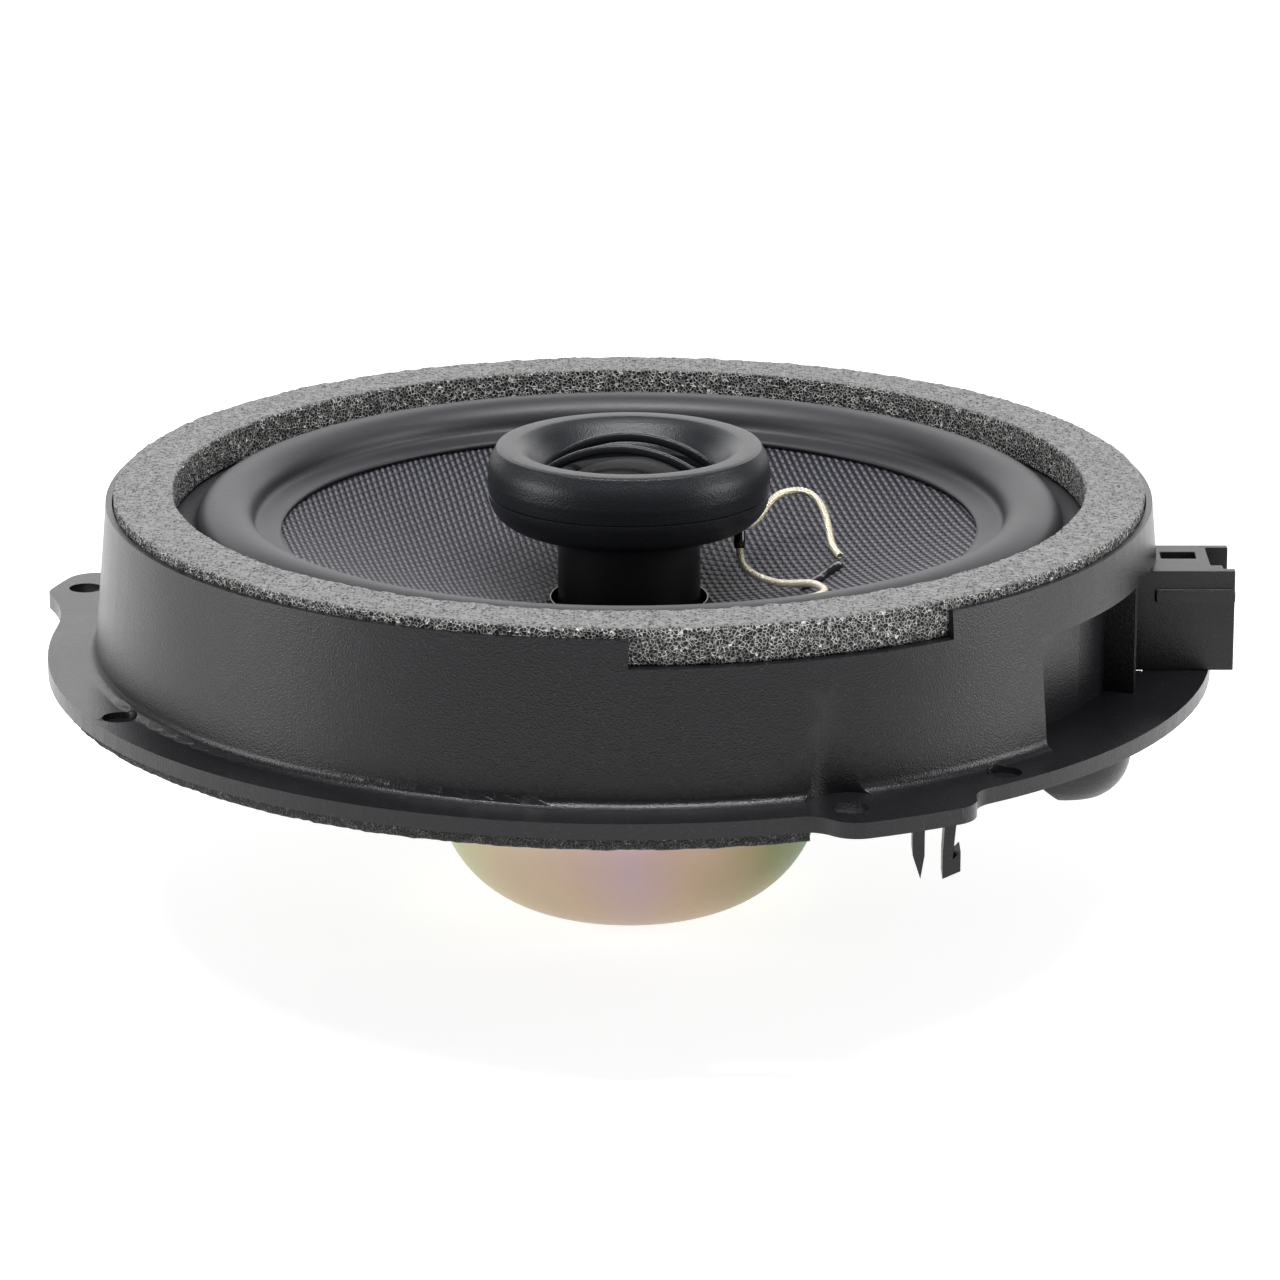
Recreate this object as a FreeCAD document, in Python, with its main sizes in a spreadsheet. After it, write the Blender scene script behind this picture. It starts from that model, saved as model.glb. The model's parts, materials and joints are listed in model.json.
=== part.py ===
import FreeCAD
import Part
import Sketcher
import math
import os

# A 165 mm class two-way car loudspeaker: a moulded basket with a mounting flange, a woven cone
# on a rubber surround, a fixed tweeter on a post, and a shielded ferrite motor.
# The origin is the centre of the motor cup's flat back. +Z is the way the speaker fires.
# The connector looks towards +X. All lengths are in millimetres and all angles in degrees.

SIZES = {
    # heights of the main planes above the cup's back
    "shelf_height": 63.0,
    "flange_top": 43.2,
    "flange_thick": 2.5,
    "platform_height": 34.0,
    "spider_seat_height": 42.0,
    # basket
    "lip_radius": 83.67,
    "lip_thick": 1.02,
    "lip_height": 5.35,
    "lip_slot_depth": 4.35,
    "lip_slot_start": -90.0,
    "lip_slot_sweep": 35.5,
    "skirt_foot_radius": 85.75,
    "skirt_wall": 2.3,
    "foot_fillet": 1.8,
    "shelf_thick": 2.5,
    "shelf_inset": 0.4,
    "foam_step": 1.0,
    "bowl_wall": 2.2,
    "bowl_knee_height": 53.0,
    "spider_seat_radius": 50.2,
    "spider_seat_width": 6.4,
    "seat_thick": 2.0,
    "platform_radius": 38.0,
    "platform_thick": 3.0,
    "platform_clearance": 1.2,
    "flange_radius": 93.5,
    "flange_overlap": 6.0,
    "shelf_seat_width": 10.5,
    "knee_drop": 1.3,
    "leg_count": 6,
    "leg_width": 20.0,
    "leg_web": 2.4,
    "leg_web_drop": 5.5,
    "leg_web_overlap": 3.0,
    "window_margin": 1.2,
    "window_drop": 4.0,
    "window_rise": 1.0,
    "vent_width": 30.0,
    "vent_inner_radius": 39.0,
    "vent_outer_radius": 43.2,
    "rib_count": 18,
    "rib_thick": 1.6,
    "rib_lift": 1.2,
    # mounting ears and their screw holes
    "screw_hole_radius": 2.75,
    "ear_blend": 5.0,
    "long_ear_blend": 40.0,
    "side_ear_radius": 5.2,
    "side_ear_offset": 2.0,
    "left_hole_angle": 161.2,
    "left_ear_angle": 158.6,
    "left_ear_sweep": 3.9,
    "back_ear_angle": 46.3,
    "front_ear_angle": -69.0,
    "front_ear_sweep": 8.8,
    "front_ear_offset": 0.5,
    "front_hole_inset": 1.75,
    "driver_clearance": 7.25,
    "mark_radius": 2.75,
    "mark_depth": 1.0,
    "mark_inset": 4.5,
    "left_mark_angle": -152.5,
    "right_mark_angle": -50.5,
    # recess in the skirt beside the connector
    "recess_start": -42.0,
    "recess_bend": -27.5,
    "recess_end_radius": 80.2,
    "recess_bend_radius": 78.9,
    "recess_wall": 2.2,
    "recess_rib_angle": -19.6,
    "recess_rib_thick": 1.2,
    "recess_overlap": 1.5,
    # connector
    "plug_near": -16.2,
    "plug_far": -1.0,
    "plug_back": 80.0,
    "plug_mouth": 96.0,
    "plug_height": 16.4,
    "plug_wall": 1.5,
    "plug_rail": 0.8,
    "plug_rail_height": 1.9,
    "plug_rail_drop": 3.1,
    "latch_start": 84.8,
    "latch_length": 5.6,
    "latch_near": -8.8,
    "latch_width": 3.8,
    "key_start": 92.3,
    "key_near": -12.6,
    "key_notch_start": 94.2,
    "blade_wide": 2.8,
    "blade_thick": 0.8,
    "blade_reach": 9.0,
    "blade_tail": 6.0,
    "blade_height": 50.0,
    "blade_gap": 5.4,
    # gaskets
    "foam_outer_radius": 82.5,
    "foam_inset": 3.4,
    "foam_thick": 6.0,
    "rear_foam_inset": 1.5,
    "rear_foam_inner": 85.4,
    "rear_foam_thick": 2.1,
    "rear_foam_start": 30.0,
    "rear_foam_sweep": 257.0,
    # snap prongs and the round locating boss under the flange
    "prong_reach": 11.5,
    "prong_depth": 5.0,
    "prong_back": -72.5,
    "prong_root_radius": 0.9,
    "prong_root_gap": 0.2,
    "left_prong_place": 42.6,
    "left_prong_wide": 1.8,
    "right_prong_place": 47.1,
    "right_prong_wide": 2.7,
    "prong_point": 3.7,
    "prong_barb": 0.6,
    "boss_radius": 10.3,
    "boss_depth": 6.2,
    "boss_flat": 6.9,
    "boss_round": 7.3,
    "boss_across": 67.0,
    "boss_along": -49.0,
    "boss_ramp_start": -1.2,
    "boss_ramp_run": 6.7,
    # motor
    "cup_radius": 31.2,
    "cup_corner": 19.0,
    "cup_wall": 1.2,
    "cup_drop": 2.0,
    "bucking_radius": 15.5,
    "bucking_bore": 6.0,
    "yoke_radius": 24.0,
    "yoke_height": 9.0,
    "yoke_thick": 5.0,
    "pole_radius": 12.2,
    "pole_rise": 2.0,
    "magnet_gap": 2.6,
    "magnet_bore": 16.6,
    "magnet_edge": 1.0,
    "top_plate_gap": 0.5,
    "top_plate_thick": 5.0,
    "coil_clearance": 0.4,
    "screw_circle": 25.0,
    "screw_count": 4,
    "screw_start": 45.0,
    "screw_head_radius": 2.6,
    "screw_head_thick": 1.3,
    "screw_shank_radius": 1.4,
    "bolt_radius": 2.5,
    "bolt_head_radius": 4.2,
    "bolt_head_thick": 3.2,
    "bolt_thread": 8.0,
    # moving assembly
    "former_radius": 12.6,
    "former_thick": 0.2,
    "former_bottom": 25.0,
    "former_top": 50.8,
    "winding_thick": 0.6,
    "winding_length": 12.0,
    "neck_height": 49.5,
    "neck_collar": 1.1,
    "cone_edge_radius": 55.4,
    "cone_edge_height": 61.0,
    "cone_edge_rise": 0.5,
    "cone_neck_fillet": 0.9,
    "cone_flange_width": 4.0,
    "cone_thick": 0.7,
    "spider_thick": 0.5,
    "spider_wave": 1.1,
    "spider_waves": 5,
    "spider_gap": 0.15,
    "surround_lap": 0.2,
    "roll_gap": 0.7,
    "roll_width": 9.3,
    "roll_height": 4.1,
    "surround_play": 0.3,
    "surround_thick": 0.8,
    "lip_rise": 0.7,
    "surround_gap": 0.2,
    # tweeter
    "post_radius": 11.5,
    "post_top": 62.5,
    "post_bore": 8.6,
    "post_floor": 10.5,
    "head_radius": 22.65,
    "head_parting": 68.6,
    "head_parting_radius": 22.55,
    "head_knee_radius": 16.0,
    "head_knee_rise": 1.0,
    "head_belly": 5.2,
    "head_top": 76.1,
    "head_rim_radius": 21.2,
    "head_floor_radius": 12.5,
    "funnel_radius": 17.6,
    "throat_radius": 13.2,
    "throat_height": 71.4,
    "bar_offset": 4.0,
    "bar_wide": 1.2,
    "bar_tall": 1.5,
    "bar_rise": 5.4,
    "bar_turn": -11.0,
    "tweeter_yoke_radius": 14.6,
    "tweeter_yoke_bore": 10.9,
    "tweeter_yoke_floor": 64.2,
    "tweeter_yoke_height": 5.3,
    "tweeter_yoke_base": 1.5,
    "tweeter_magnet_radius": 8.6,
    "tweeter_plate_radius": 9.4,
    "tweeter_plate_thick": 1.4,
    "tweeter_plate_drop": 0.5,
    "dome_radius": 10.2,
    "dome_rise": 3.1,
    "dome_thick": 0.25,
    "dome_rim": 1.2,
    "dome_flat": 0.8,
    "tweeter_coil_radius": 9.8,
    "tweeter_coil_thick": 0.4,
    "tweeter_coil_length": 3.2,
    "tweeter_roll_outer": 12.9,
    "tweeter_gap": 0.2,
    "capacitor_radius": 4.0,
    "capacitor_length": 12.0,
    # front leads
    "lead_diameter": 1.25,
    "sleeve_radius": 0.95,
    "sleeve_length": 6.0,
    "sleeve_clearance": 0.2,
    "bead_radius": 1.6,
    "bead_height": 1.8,
    "bead_gap": 0.35,
}

# The routes of the two braided leads, from the sleeves under the tweeter head to the cone.
LOWER_LEAD = [
    (17.76, 0.4, 58.7),
    (17.75, -0.3, 57),
    (18.9, -3.2, 56),
    (21.1, -5.4, 55.35),
    (23.3, -7.4, 55.2),
    (25.5, -9.6, 55.6),
    (27.5, -12, 56.45),
    (29.3, -14.4, 57.1),
    (30.5, -17.8, 57.4),
    (31, -21.4, 57.8),
    (30, -24.8, 58.1),
    (27.6, -27, 58.3),
    (25, -28, 58),
]
UPPER_LEAD = [
    (18.4, 6.4, 61.2),
    (18.9, 7.5, 60),
    (20.6, 9.4, 60.7),
    (22, 11.4, 62),
    (23.1, 13.1, 63.2),
    (24.55, 14.6, 63.85),
    (26.2, 15.8, 64),
    (28.1, 16.3, 64),
    (29.7, 15.6, 63.55),
    (30.8, 14.4, 62.75),
    (31.5, 12.8, 61.8),
    (32.04, 11, 60.6),
    (32.4, 9, 59.3),
    (32.67, 7, 58),
    (33.18, 4.6, 57.1),
    (34, 2.4, 56.8),
]

doc = FreeCAD.newDocument("coaxial_speaker")
sheet = doc.addObject("Spreadsheet::Sheet", "Sizes")
for row, (alias, number) in enumerate(SIZES.items(), start=1):
    sheet.set(f"A{row}", alias)
    sheet.set(f"B{row}", str(number))
    sheet.setAlias(f"B{row}", alias)
doc.recompute()


class Size:
    """A number from the sheet together with the expression that keeps it tied there."""

    def __init__(self, value, text):
        self.value = value
        self.text = text

    @staticmethod
    def of(thing):
        if isinstance(thing, Size):
            return thing
        return Size(float(thing), f"{float(thing)!r}")

    def __add__(self, other):
        other = Size.of(other)
        return Size(self.value + other.value, f"({self.text} + {other.text})")

    def __sub__(self, other):
        other = Size.of(other)
        return Size(self.value - other.value, f"({self.text} - {other.text})")

    def __mul__(self, other):
        other = Size.of(other)
        return Size(self.value * other.value, f"({self.text} * {other.text})")

    def __truediv__(self, other):
        other = Size.of(other)
        return Size(self.value / other.value, f"({self.text} / {other.text})")

    def __radd__(self, other):
        return Size.of(other) + self

    def __rsub__(self, other):
        return Size.of(other) - self

    def __rmul__(self, other):
        return Size.of(other) * self

    def __neg__(self):
        return Size(-self.value, f"(0 - {self.text})")

    def root(self):
        return Size(math.sqrt(self.value), f"sqrt({self.text})")


class Sheet:
    """Reads an alias as a Size, so s.lip_radius + 2 is a number and a live expression."""

    def __getattr__(self, alias):
        return Size(float(sheet.get(alias)), f"Sizes.{alias}")


s = Sheet()


# sizes that follow from others, so that what fits together stays together
CUP_HEIGHT = s.platform_height - s.cup_drop
POLE_HEIGHT = s.platform_height + s.pole_rise
PLATFORM_BORE = s.former_radius + s.former_thick + s.winding_thick + s.platform_clearance
SIDE_EAR_CIRCLE = s.flange_radius + s.side_ear_offset
FRONT_EAR_CIRCLE = s.flange_radius + s.front_ear_offset
FRONT_HOLE_CIRCLE = s.flange_radius - s.front_hole_inset
MARK_CIRCLE = s.flange_radius - s.mark_inset
REAR_FOAM_OUTER = s.flange_radius - s.rear_foam_inset
SURROUND_INNER = s.cone_edge_radius + s.surround_lap
CONE_FLANGE = s.cone_edge_radius + s.cone_flange_width
ROLL_INNER = CONE_FLANGE + s.roll_gap
ROLL_OUTER = ROLL_INNER + s.roll_width
SHELF_INNER = ROLL_OUTER + s.shelf_inset
FOAM_INNER = ROLL_OUTER + s.foam_inset
SURROUND_FLANGE = SHELF_INNER + s.shelf_seat_width - s.surround_play


def polar(radius, angle):
    """The point at this radius and angle about the speaker's axis."""
    radius = Size.of(radius)
    angle = Size.of(angle)
    turn = math.radians(angle.value)
    across = Size(radius.value * math.cos(turn), f"({radius.text} * cos({angle.text}))")
    along = Size(radius.value * math.sin(turn), f"({radius.text} * sin({angle.text}))")
    return across, along


def arc_edge(start, end, radius):
    """The minor arc from start to end: counter-clockwise if radius is positive."""
    middle = (start + end) * 0.5
    chord = end - start
    reach = math.sqrt(radius * radius - chord.Length ** 2 / 4)
    normal = FreeCAD.Vector(-chord.y, chord.x, 0).normalize()
    centre = middle + normal * (reach if radius > 0 else -reach)
    circle = Part.Circle(centre, FreeCAD.Vector(0, 0, 1), abs(radius))
    first = math.atan2(start.y - centre.y, start.x - centre.x)
    last = math.atan2(end.y - centre.y, end.x - centre.x)
    if radius < 0:
        first, last = last, first
    if last < first:
        last += 2 * math.pi
    return Part.ArcOfCircle(circle, first, last)


def draw(body, plane_role, points, name):
    """A closed sketch on one of the body's origin planes.

    Each point is (across, up), or (across, up, radius) when an arc arrives at it.
    """
    plane = [f for f in body.Origin.OriginFeatures if f.Role == plane_role][0]
    sketch = body.newObject("Sketcher::SketchObject", name)
    sketch.AttachmentSupport = [(plane, "")]
    sketch.MapMode = "FlatFace"
    corners = [tuple(Size.of(value) for value in point) for point in points]
    ends = []
    for index, corner in enumerate(corners):
        before = corners[index - 1]
        start = FreeCAD.Vector(before[0].value, before[1].value, 0)
        end = FreeCAD.Vector(corner[0].value, corner[1].value, 0)
        if len(corner) == 3:
            edge = sketch.addGeometry(arc_edge(start, end, corner[2].value), False)
            ends.append((edge, 1, 2) if corner[2].value > 0 else (edge, 2, 1))
        else:
            edge = sketch.addGeometry(Part.LineSegment(start, end), False)
            ends.append((edge, 1, 2))
    for index, corner in enumerate(corners):
        edge, _, finish = ends[index]
        following, begin, _ = ends[(index + 1) % len(corners)]
        sketch.addConstraint(Sketcher.Constraint("Coincident", edge, finish, following, begin))
        for kind, size in (("DistanceX", corner[0]), ("DistanceY", corner[1])):
            number = sketch.addConstraint(
                Sketcher.Constraint(kind, -1, 1, edge, finish, size.value)
            )
            sketch.setExpression(f"Constraints[{number}]", size.text)
        if len(corner) == 3:
            reach = corner[2] if corner[2].value > 0 else -corner[2]
            number = sketch.addConstraint(Sketcher.Constraint("Radius", edge, reach.value))
            sketch.setExpression(f"Constraints[{number}]", reach.text)
    return sketch


def bind(thing, **sizes):
    """Sets properties of a document object from Sizes and keeps them tied to the sheet."""
    for key, size in sizes.items():
        size = Size.of(size)
        thing.setExpression(key, size.text)
    return thing


def place(thing, across=0, along=0, up=0, turn=0):
    """Moves a document object, with its turn about the speaker's axis."""
    turn = Size.of(turn)
    thing.Placement = FreeCAD.Placement(
        FreeCAD.Vector(0, 0, 0), FreeCAD.Rotation(FreeCAD.Vector(0, 0, 1), turn.value)
    )
    for key, size in (("x", across), ("y", along), ("z", up)):
        thing.setExpression(f"Placement.Base.{key}", Size.of(size).text)
    return thing


def turned(name, points):
    """A round piece: (radius, height) points turned about the speaker's axis."""
    body = doc.addObject("PartDesign::Body", name)
    section = draw(body, "XZ_Plane", points, f"{name}_section")
    solid = body.newObject("PartDesign::Revolution", f"{name}_turn")
    solid.Profile = section
    solid.ReferenceAxis = (section, ["V_Axis"])
    solid.Angle = 360
    section.Visibility = False
    return body


def plate(name, points, bottom, thick, turn=0):
    """A flat piece: an outline seen from the front, padded up from its bottom."""
    body = doc.addObject("PartDesign::Body", name)
    section = draw(body, "XY_Plane", points, f"{name}_outline")
    solid = body.newObject("PartDesign::Pad", f"{name}_pad")
    solid.Profile = section
    bind(solid, Length=thick)
    return place(body, up=bottom, turn=turn)


def side_plate(name, points, near, thick):
    """A piece cut from a sheet that stands across the speaker: (x, z) points, padded towards -Y."""
    body = doc.addObject("PartDesign::Body", name)
    section = draw(body, "XZ_Plane", points, f"{name}_outline")
    solid = body.newObject("PartDesign::Pad", f"{name}_pad")
    solid.Profile = section
    bind(solid, Length=thick)
    return place(body, along=near)


def disc(name, radius, bottom, thick, across=0, along=0):
    cylinder = doc.addObject("Part::Cylinder", name)
    bind(cylinder, Radius=radius, Height=thick)
    return place(cylinder, across, along, bottom)


def block(name, low_x, low_y, low_z, long_x, long_y, long_z, turn=0):
    box = doc.addObject("Part::Box", name)
    bind(box, Length=long_x, Width=long_y, Height=long_z)
    if Size.of(turn).value:
        # a turned block lies along its own radius, so its corner is turned with it
        radius_x, radius_y = polar(low_x, turn)
        side_x, side_y = polar(low_y, Size.of(turn) + 90)
        return place(box, radius_x + side_x, radius_y + side_y, low_z, turn)
    return place(box, low_x, low_y, low_z)


def sector(name, inner, outer, start, sweep, bottom, thick):
    """A slice of a ring, from one angle through a sweep."""
    whole = disc(f"{name}_outer", outer, bottom, thick)
    hollow = disc(f"{name}_inner", inner, bottom, thick)
    for cylinder in (whole, hollow):
        bind(cylinder, Angle=sweep)
        place(cylinder, up=bottom, turn=start)
    return cut(name, whole, [hollow])


def cut(name, base, tools):
    if len(tools) > 1:
        tool = doc.addObject("Part::MultiFuse", f"{name}_tools")
        tool.Shapes = tools
    else:
        tool = tools[0]
    result = doc.addObject("Part::Cut", name)
    result.Base = base
    result.Tool = tool
    return result


def join(name, pieces, refine=True):
    result = doc.addObject("Part::MultiFuse", name)
    result.Shapes = pieces
    result.Refine = refine
    return result


NODES = []


def node(label, thing):
    """Names a finished sub-part. Its label is the name of its file."""
    thing.Label = label
    NODES.append(thing)
    return thing


# Heights that several pieces share.
foam_seat = s.shelf_height + s.foam_step
lip_top = s.shelf_height + s.lip_height
flange_bottom = s.flange_top - s.flange_thick
shelf_bottom = s.shelf_height - s.shelf_thick
lip_inner_radius = s.lip_radius - s.lip_thick
foot_inner_radius = s.skirt_foot_radius - s.skirt_wall
skirt_inner_top = s.lip_radius - s.skirt_wall
plug_top = s.flange_top + s.plug_height
former_outside = s.former_radius + s.former_thick


def make_basket():
    seat_inner = s.spider_seat_radius - s.spider_seat_width
    knee_radius = SHELF_INNER + s.bowl_wall
    seat_outer = s.spider_seat_radius + s.seat_thick
    platform_top = s.platform_height + s.platform_thick
    shell = turned("basket_shell", [
        (lip_inner_radius, foam_seat),
        (SHELF_INNER + s.shelf_seat_width, foam_seat),
        (SHELF_INNER + s.shelf_seat_width, s.shelf_height),
        (SHELF_INNER, s.shelf_height),
        (SHELF_INNER, s.bowl_knee_height),
        (s.spider_seat_radius, s.spider_seat_height),
        (seat_inner, s.spider_seat_height),
        (s.platform_radius - 1.0, platform_top),
        (PLATFORM_BORE, platform_top),
        (PLATFORM_BORE, s.platform_height),
        (s.platform_radius, s.platform_height),
        (seat_inner + s.seat_thick, s.spider_seat_height - s.seat_thick),
        (seat_outer, s.spider_seat_height - s.seat_thick),
        (knee_radius, s.bowl_knee_height - s.knee_drop),
        (knee_radius, shelf_bottom),
        (skirt_inner_top, shelf_bottom),
        (foot_inner_radius, flange_bottom),
        (s.skirt_foot_radius + s.foot_fillet, flange_bottom),
        (s.skirt_foot_radius + s.foot_fillet, s.flange_top),
        (s.skirt_foot_radius, s.flange_top + s.foot_fillet, -s.foot_fillet),
        (s.lip_radius, lip_top),
        (lip_inner_radius, lip_top),
    ])
    flange = cut(
        "flange",
        disc("flange_disc", s.flange_radius, flange_bottom, s.flange_thick),
        [disc("flange_middle", foot_inner_radius + 0.5, flange_bottom, s.flange_thick)],
    )
    added = [shell, flange]
    removed = []

    def ear(name, circle, angle, far_blend=s.ear_blend):
        """A rounded ear that runs out of the flange through a blending arc on each side."""
        tip = s.side_ear_radius

        def side(blend, sign):
            reach = s.flange_radius + blend
            gap = tip + blend
            blend_x = (circle * circle + reach * reach - gap * gap) / (circle * 2)
            blend_y = (reach * reach - blend_x * blend_x).root()
            rim = (blend_x * s.flange_radius / reach, blend_y * s.flange_radius / reach * sign)
            join_tip = (circle + (blend_x - circle) * tip / gap, blend_y * tip / gap * sign)
            return rim, join_tip

        near_rim, near_tip = side(s.ear_blend, -1)
        far_rim, far_tip = side(far_blend, 1)
        inside = s.flange_radius - s.flange_overlap
        return plate(name, [
            (inside, near_rim[1]),
            near_rim,
            (*near_tip, -s.ear_blend),
            (circle + tip, 0, tip),
            (*far_tip, tip),
            (*far_rim, -far_blend),
            (inside, far_rim[1]),
        ], flange_bottom, s.flange_thick, angle)

    def ear_middle(name, circle, angle, sweep):
        """The stretch of a wide ear between its two rounded ends."""
        return sector(name, s.flange_radius - s.flange_overlap, circle + s.side_ear_radius,
                      angle, sweep, flange_bottom, s.flange_thick)

    front_end = s.front_ear_angle + s.front_ear_sweep
    left_end = s.left_ear_angle + s.left_ear_sweep
    added += [
        ear("left_ear_near", SIDE_EAR_CIRCLE, s.left_ear_angle),
        ear("left_ear_far", SIDE_EAR_CIRCLE, left_end, s.long_ear_blend),
        ear_middle("left_ear_middle", SIDE_EAR_CIRCLE, s.left_ear_angle, s.left_ear_sweep),
        ear("back_ear", SIDE_EAR_CIRCLE, s.back_ear_angle),
        ear("front_ear_left", FRONT_EAR_CIRCLE, s.front_ear_angle),
        ear("front_ear_right", FRONT_EAR_CIRCLE, front_end),
        ear_middle("front_ear_middle", FRONT_EAR_CIRCLE, s.front_ear_angle,
                   s.front_ear_sweep),
    ]
    # through holes for the mounting screws, and room for the driver beside the skirt
    for name, circle, angle in (
        ("left_hole", SIDE_EAR_CIRCLE, s.left_hole_angle),
        ("back_hole", SIDE_EAR_CIRCLE, s.back_ear_angle),
        ("front_hole", FRONT_HOLE_CIRCLE, s.front_ear_angle),
    ):
        across, along = polar(circle, angle)
        removed.append(disc(name, s.screw_hole_radius, flange_bottom - 1, s.flange_thick + 2,
                            across, along))
    across, along = polar(FRONT_HOLE_CIRCLE, s.front_ear_angle)
    removed.append(disc("driver_room", s.driver_clearance, s.flange_top, s.plug_height,
                        across, along))
    for name, angle in (("left_mark", s.left_mark_angle), ("right_mark", s.right_mark_angle)):
        across, along = polar(MARK_CIRCLE, angle)
        removed.append(disc(name, s.mark_radius, s.flange_top - s.mark_depth, s.mark_depth + 1,
                            across, along))

    # the slot in the lip that shows the side of the foam
    removed.append(sector("lip_slot", lip_inner_radius - 0.2, s.lip_radius + 2, s.lip_slot_start,
                          s.lip_slot_sweep, lip_top - s.lip_slot_depth, s.lip_slot_depth + 1))

    # holes for the screws that hold the motor under the platform
    for index in range(SIZES["screw_count"]):
        removed.append(screw_shank(f"motor_screw_hole_{index}", index, s.platform_height - 1,
                                   s.platform_thick + 2))

    # round seats that the roots of the snap prongs turn in
    for name, centre in (("left_prong_seat", left_root), ("right_prong_seat", right_root)):
        removed.append(prong_root(name, centre, s.prong_root_radius + s.prong_root_gap,
                                  s.prong_depth + s.prong_root_gap * 2,
                                  s.prong_back + s.prong_root_gap))

    # windows between the legs, vents under the spider, and a web under each leg
    step = 360 / SIZES["leg_count"]
    for index in range(SIZES["leg_count"]):
        middle = index * step
        removed.append(sector(
            f"window_{index}", seat_outer + s.window_margin,
            SHELF_INNER - s.window_margin, middle + s.leg_width / 2, step - s.leg_width,
            s.spider_seat_height - s.window_drop,
            s.bowl_knee_height - s.spider_seat_height + s.window_drop + s.window_rise))
        removed.append(sector(
            f"vent_{index}", s.vent_inner_radius, s.vent_outer_radius,
            middle + step / 2 - s.vent_width / 2, s.vent_width,
            s.platform_height - 1, s.spider_seat_height - s.platform_height + 0.4))
        added.append(leg_web(index, middle, seat_outer, knee_radius))
    rib_step = 360 / SIZES["rib_count"]
    for index in range(SIZES["rib_count"]):
        added.append(block(
            f"rib_{index}", knee_radius - 0.6, -s.rib_thick / 2, flange_bottom + s.rib_lift,
            skirt_inner_top - knee_radius + 1.4, s.rib_thick,
            shelf_bottom - flange_bottom - s.rib_lift + 0.5, turn=index * rib_step))

    # the recess beside the connector: its own back wall is added first, then its hollow is cut
    recess_end = polar(s.recess_end_radius, s.recess_start)
    recess_bend = polar(s.recess_bend_radius, s.recess_bend)
    wall_start = polar(s.recess_end_radius - s.recess_wall, s.recess_start - s.recess_overlap)
    wall_bend = polar(s.recess_bend_radius - s.recess_wall, s.recess_bend)
    outer = s.skirt_foot_radius - s.skirt_wall + 0.8
    added.append(plate("recess_wall", [
        wall_start,
        wall_bend,
        (s.plug_back - s.recess_wall, s.plug_near),
        (s.plug_back + s.recess_overlap, s.plug_near),
        (*polar(outer, s.recess_start - s.recess_overlap), -outer),
    ], flange_bottom, shelf_bottom - flange_bottom))
    removed.append(plate("recess_hollow", [
        recess_end,
        recess_bend,
        (s.plug_back, s.plug_near),
        (s.plug_mouth, s.plug_near),
        (*polar(s.flange_radius, s.recess_start), -s.flange_radius),
    ], s.flange_top, shelf_bottom - s.flange_top))

    # a seat for the connector, which is a moulding of its own
    removed.append(block("plug_seat", s.plug_back, s.plug_near, s.flange_top,
                         s.plug_mouth - s.plug_back, s.plug_far - s.plug_near, s.plug_height))

    added.append(make_boss())

    blank = join("basket_blank", added, refine=False)
    hollowed = cut("basket_hollowed", blank, removed)
    rib = block("recess_rib", s.recess_end_radius - 1.0, -s.recess_rib_thick / 2, s.flange_top,
                s.lip_radius - s.recess_end_radius + 1.6, s.recess_rib_thick,
                shelf_bottom - s.flange_top, turn=s.recess_rib_angle)
    return join("basket", [hollowed, rib], refine=False)


def screw_shank(name, index, bottom, thick):
    """A cylinder where one motor screw runs."""
    return disc(name, s.screw_shank_radius, bottom, thick, *screw_place(index))


def screw_place(index):
    """Where one motor screw stands."""
    return polar(s.screw_circle, s.screw_start + index * 360 / SIZES["screw_count"])


def prong_root(name, centre, radius, depth, back):
    """A cylinder that lies along Y, on the line that a snap prong bends about."""
    across, up = centre
    cylinder = doc.addObject("Part::Cylinder", name)
    bind(cylinder, Radius=radius, Height=depth)
    cylinder.Placement = FreeCAD.Placement(
        FreeCAD.Vector(0, 0, 0), FreeCAD.Rotation(FreeCAD.Vector(1, 0, 0), 90)
    )
    for key, size in (("x", across), ("y", back), ("z", up)):
        cylinder.setExpression(f"Placement.Base.{key}", Size.of(size).text)
    return cylinder


def make_boss():
    """The locating boss under the flange: rounded below, with a ramp on its left side."""
    boss = turned("boss_round_post", [
        (0, -s.boss_depth),
        (s.boss_flat, -s.boss_depth),
        (s.boss_radius, 0, s.boss_round),
        (s.boss_radius, s.flange_thick / 4),
        (0, s.flange_thick / 4),
    ])
    place(boss, s.boss_across, s.boss_along, flange_bottom)
    ramp = side_plate("boss_ramp", [
        (s.boss_across + s.boss_ramp_start, flange_bottom - s.boss_depth - 1),
        (s.boss_across + s.boss_ramp_start, flange_bottom - s.boss_depth),
        (s.boss_across + s.boss_ramp_start - s.boss_ramp_run, flange_bottom),
        (s.boss_across - s.boss_radius - 1, flange_bottom),
        (s.boss_across - s.boss_radius - 1, flange_bottom - s.boss_depth - 1),
    ], s.boss_along + s.boss_radius + 1, s.boss_radius * 2 + 2)
    return cut("boss", boss, [ramp])


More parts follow.
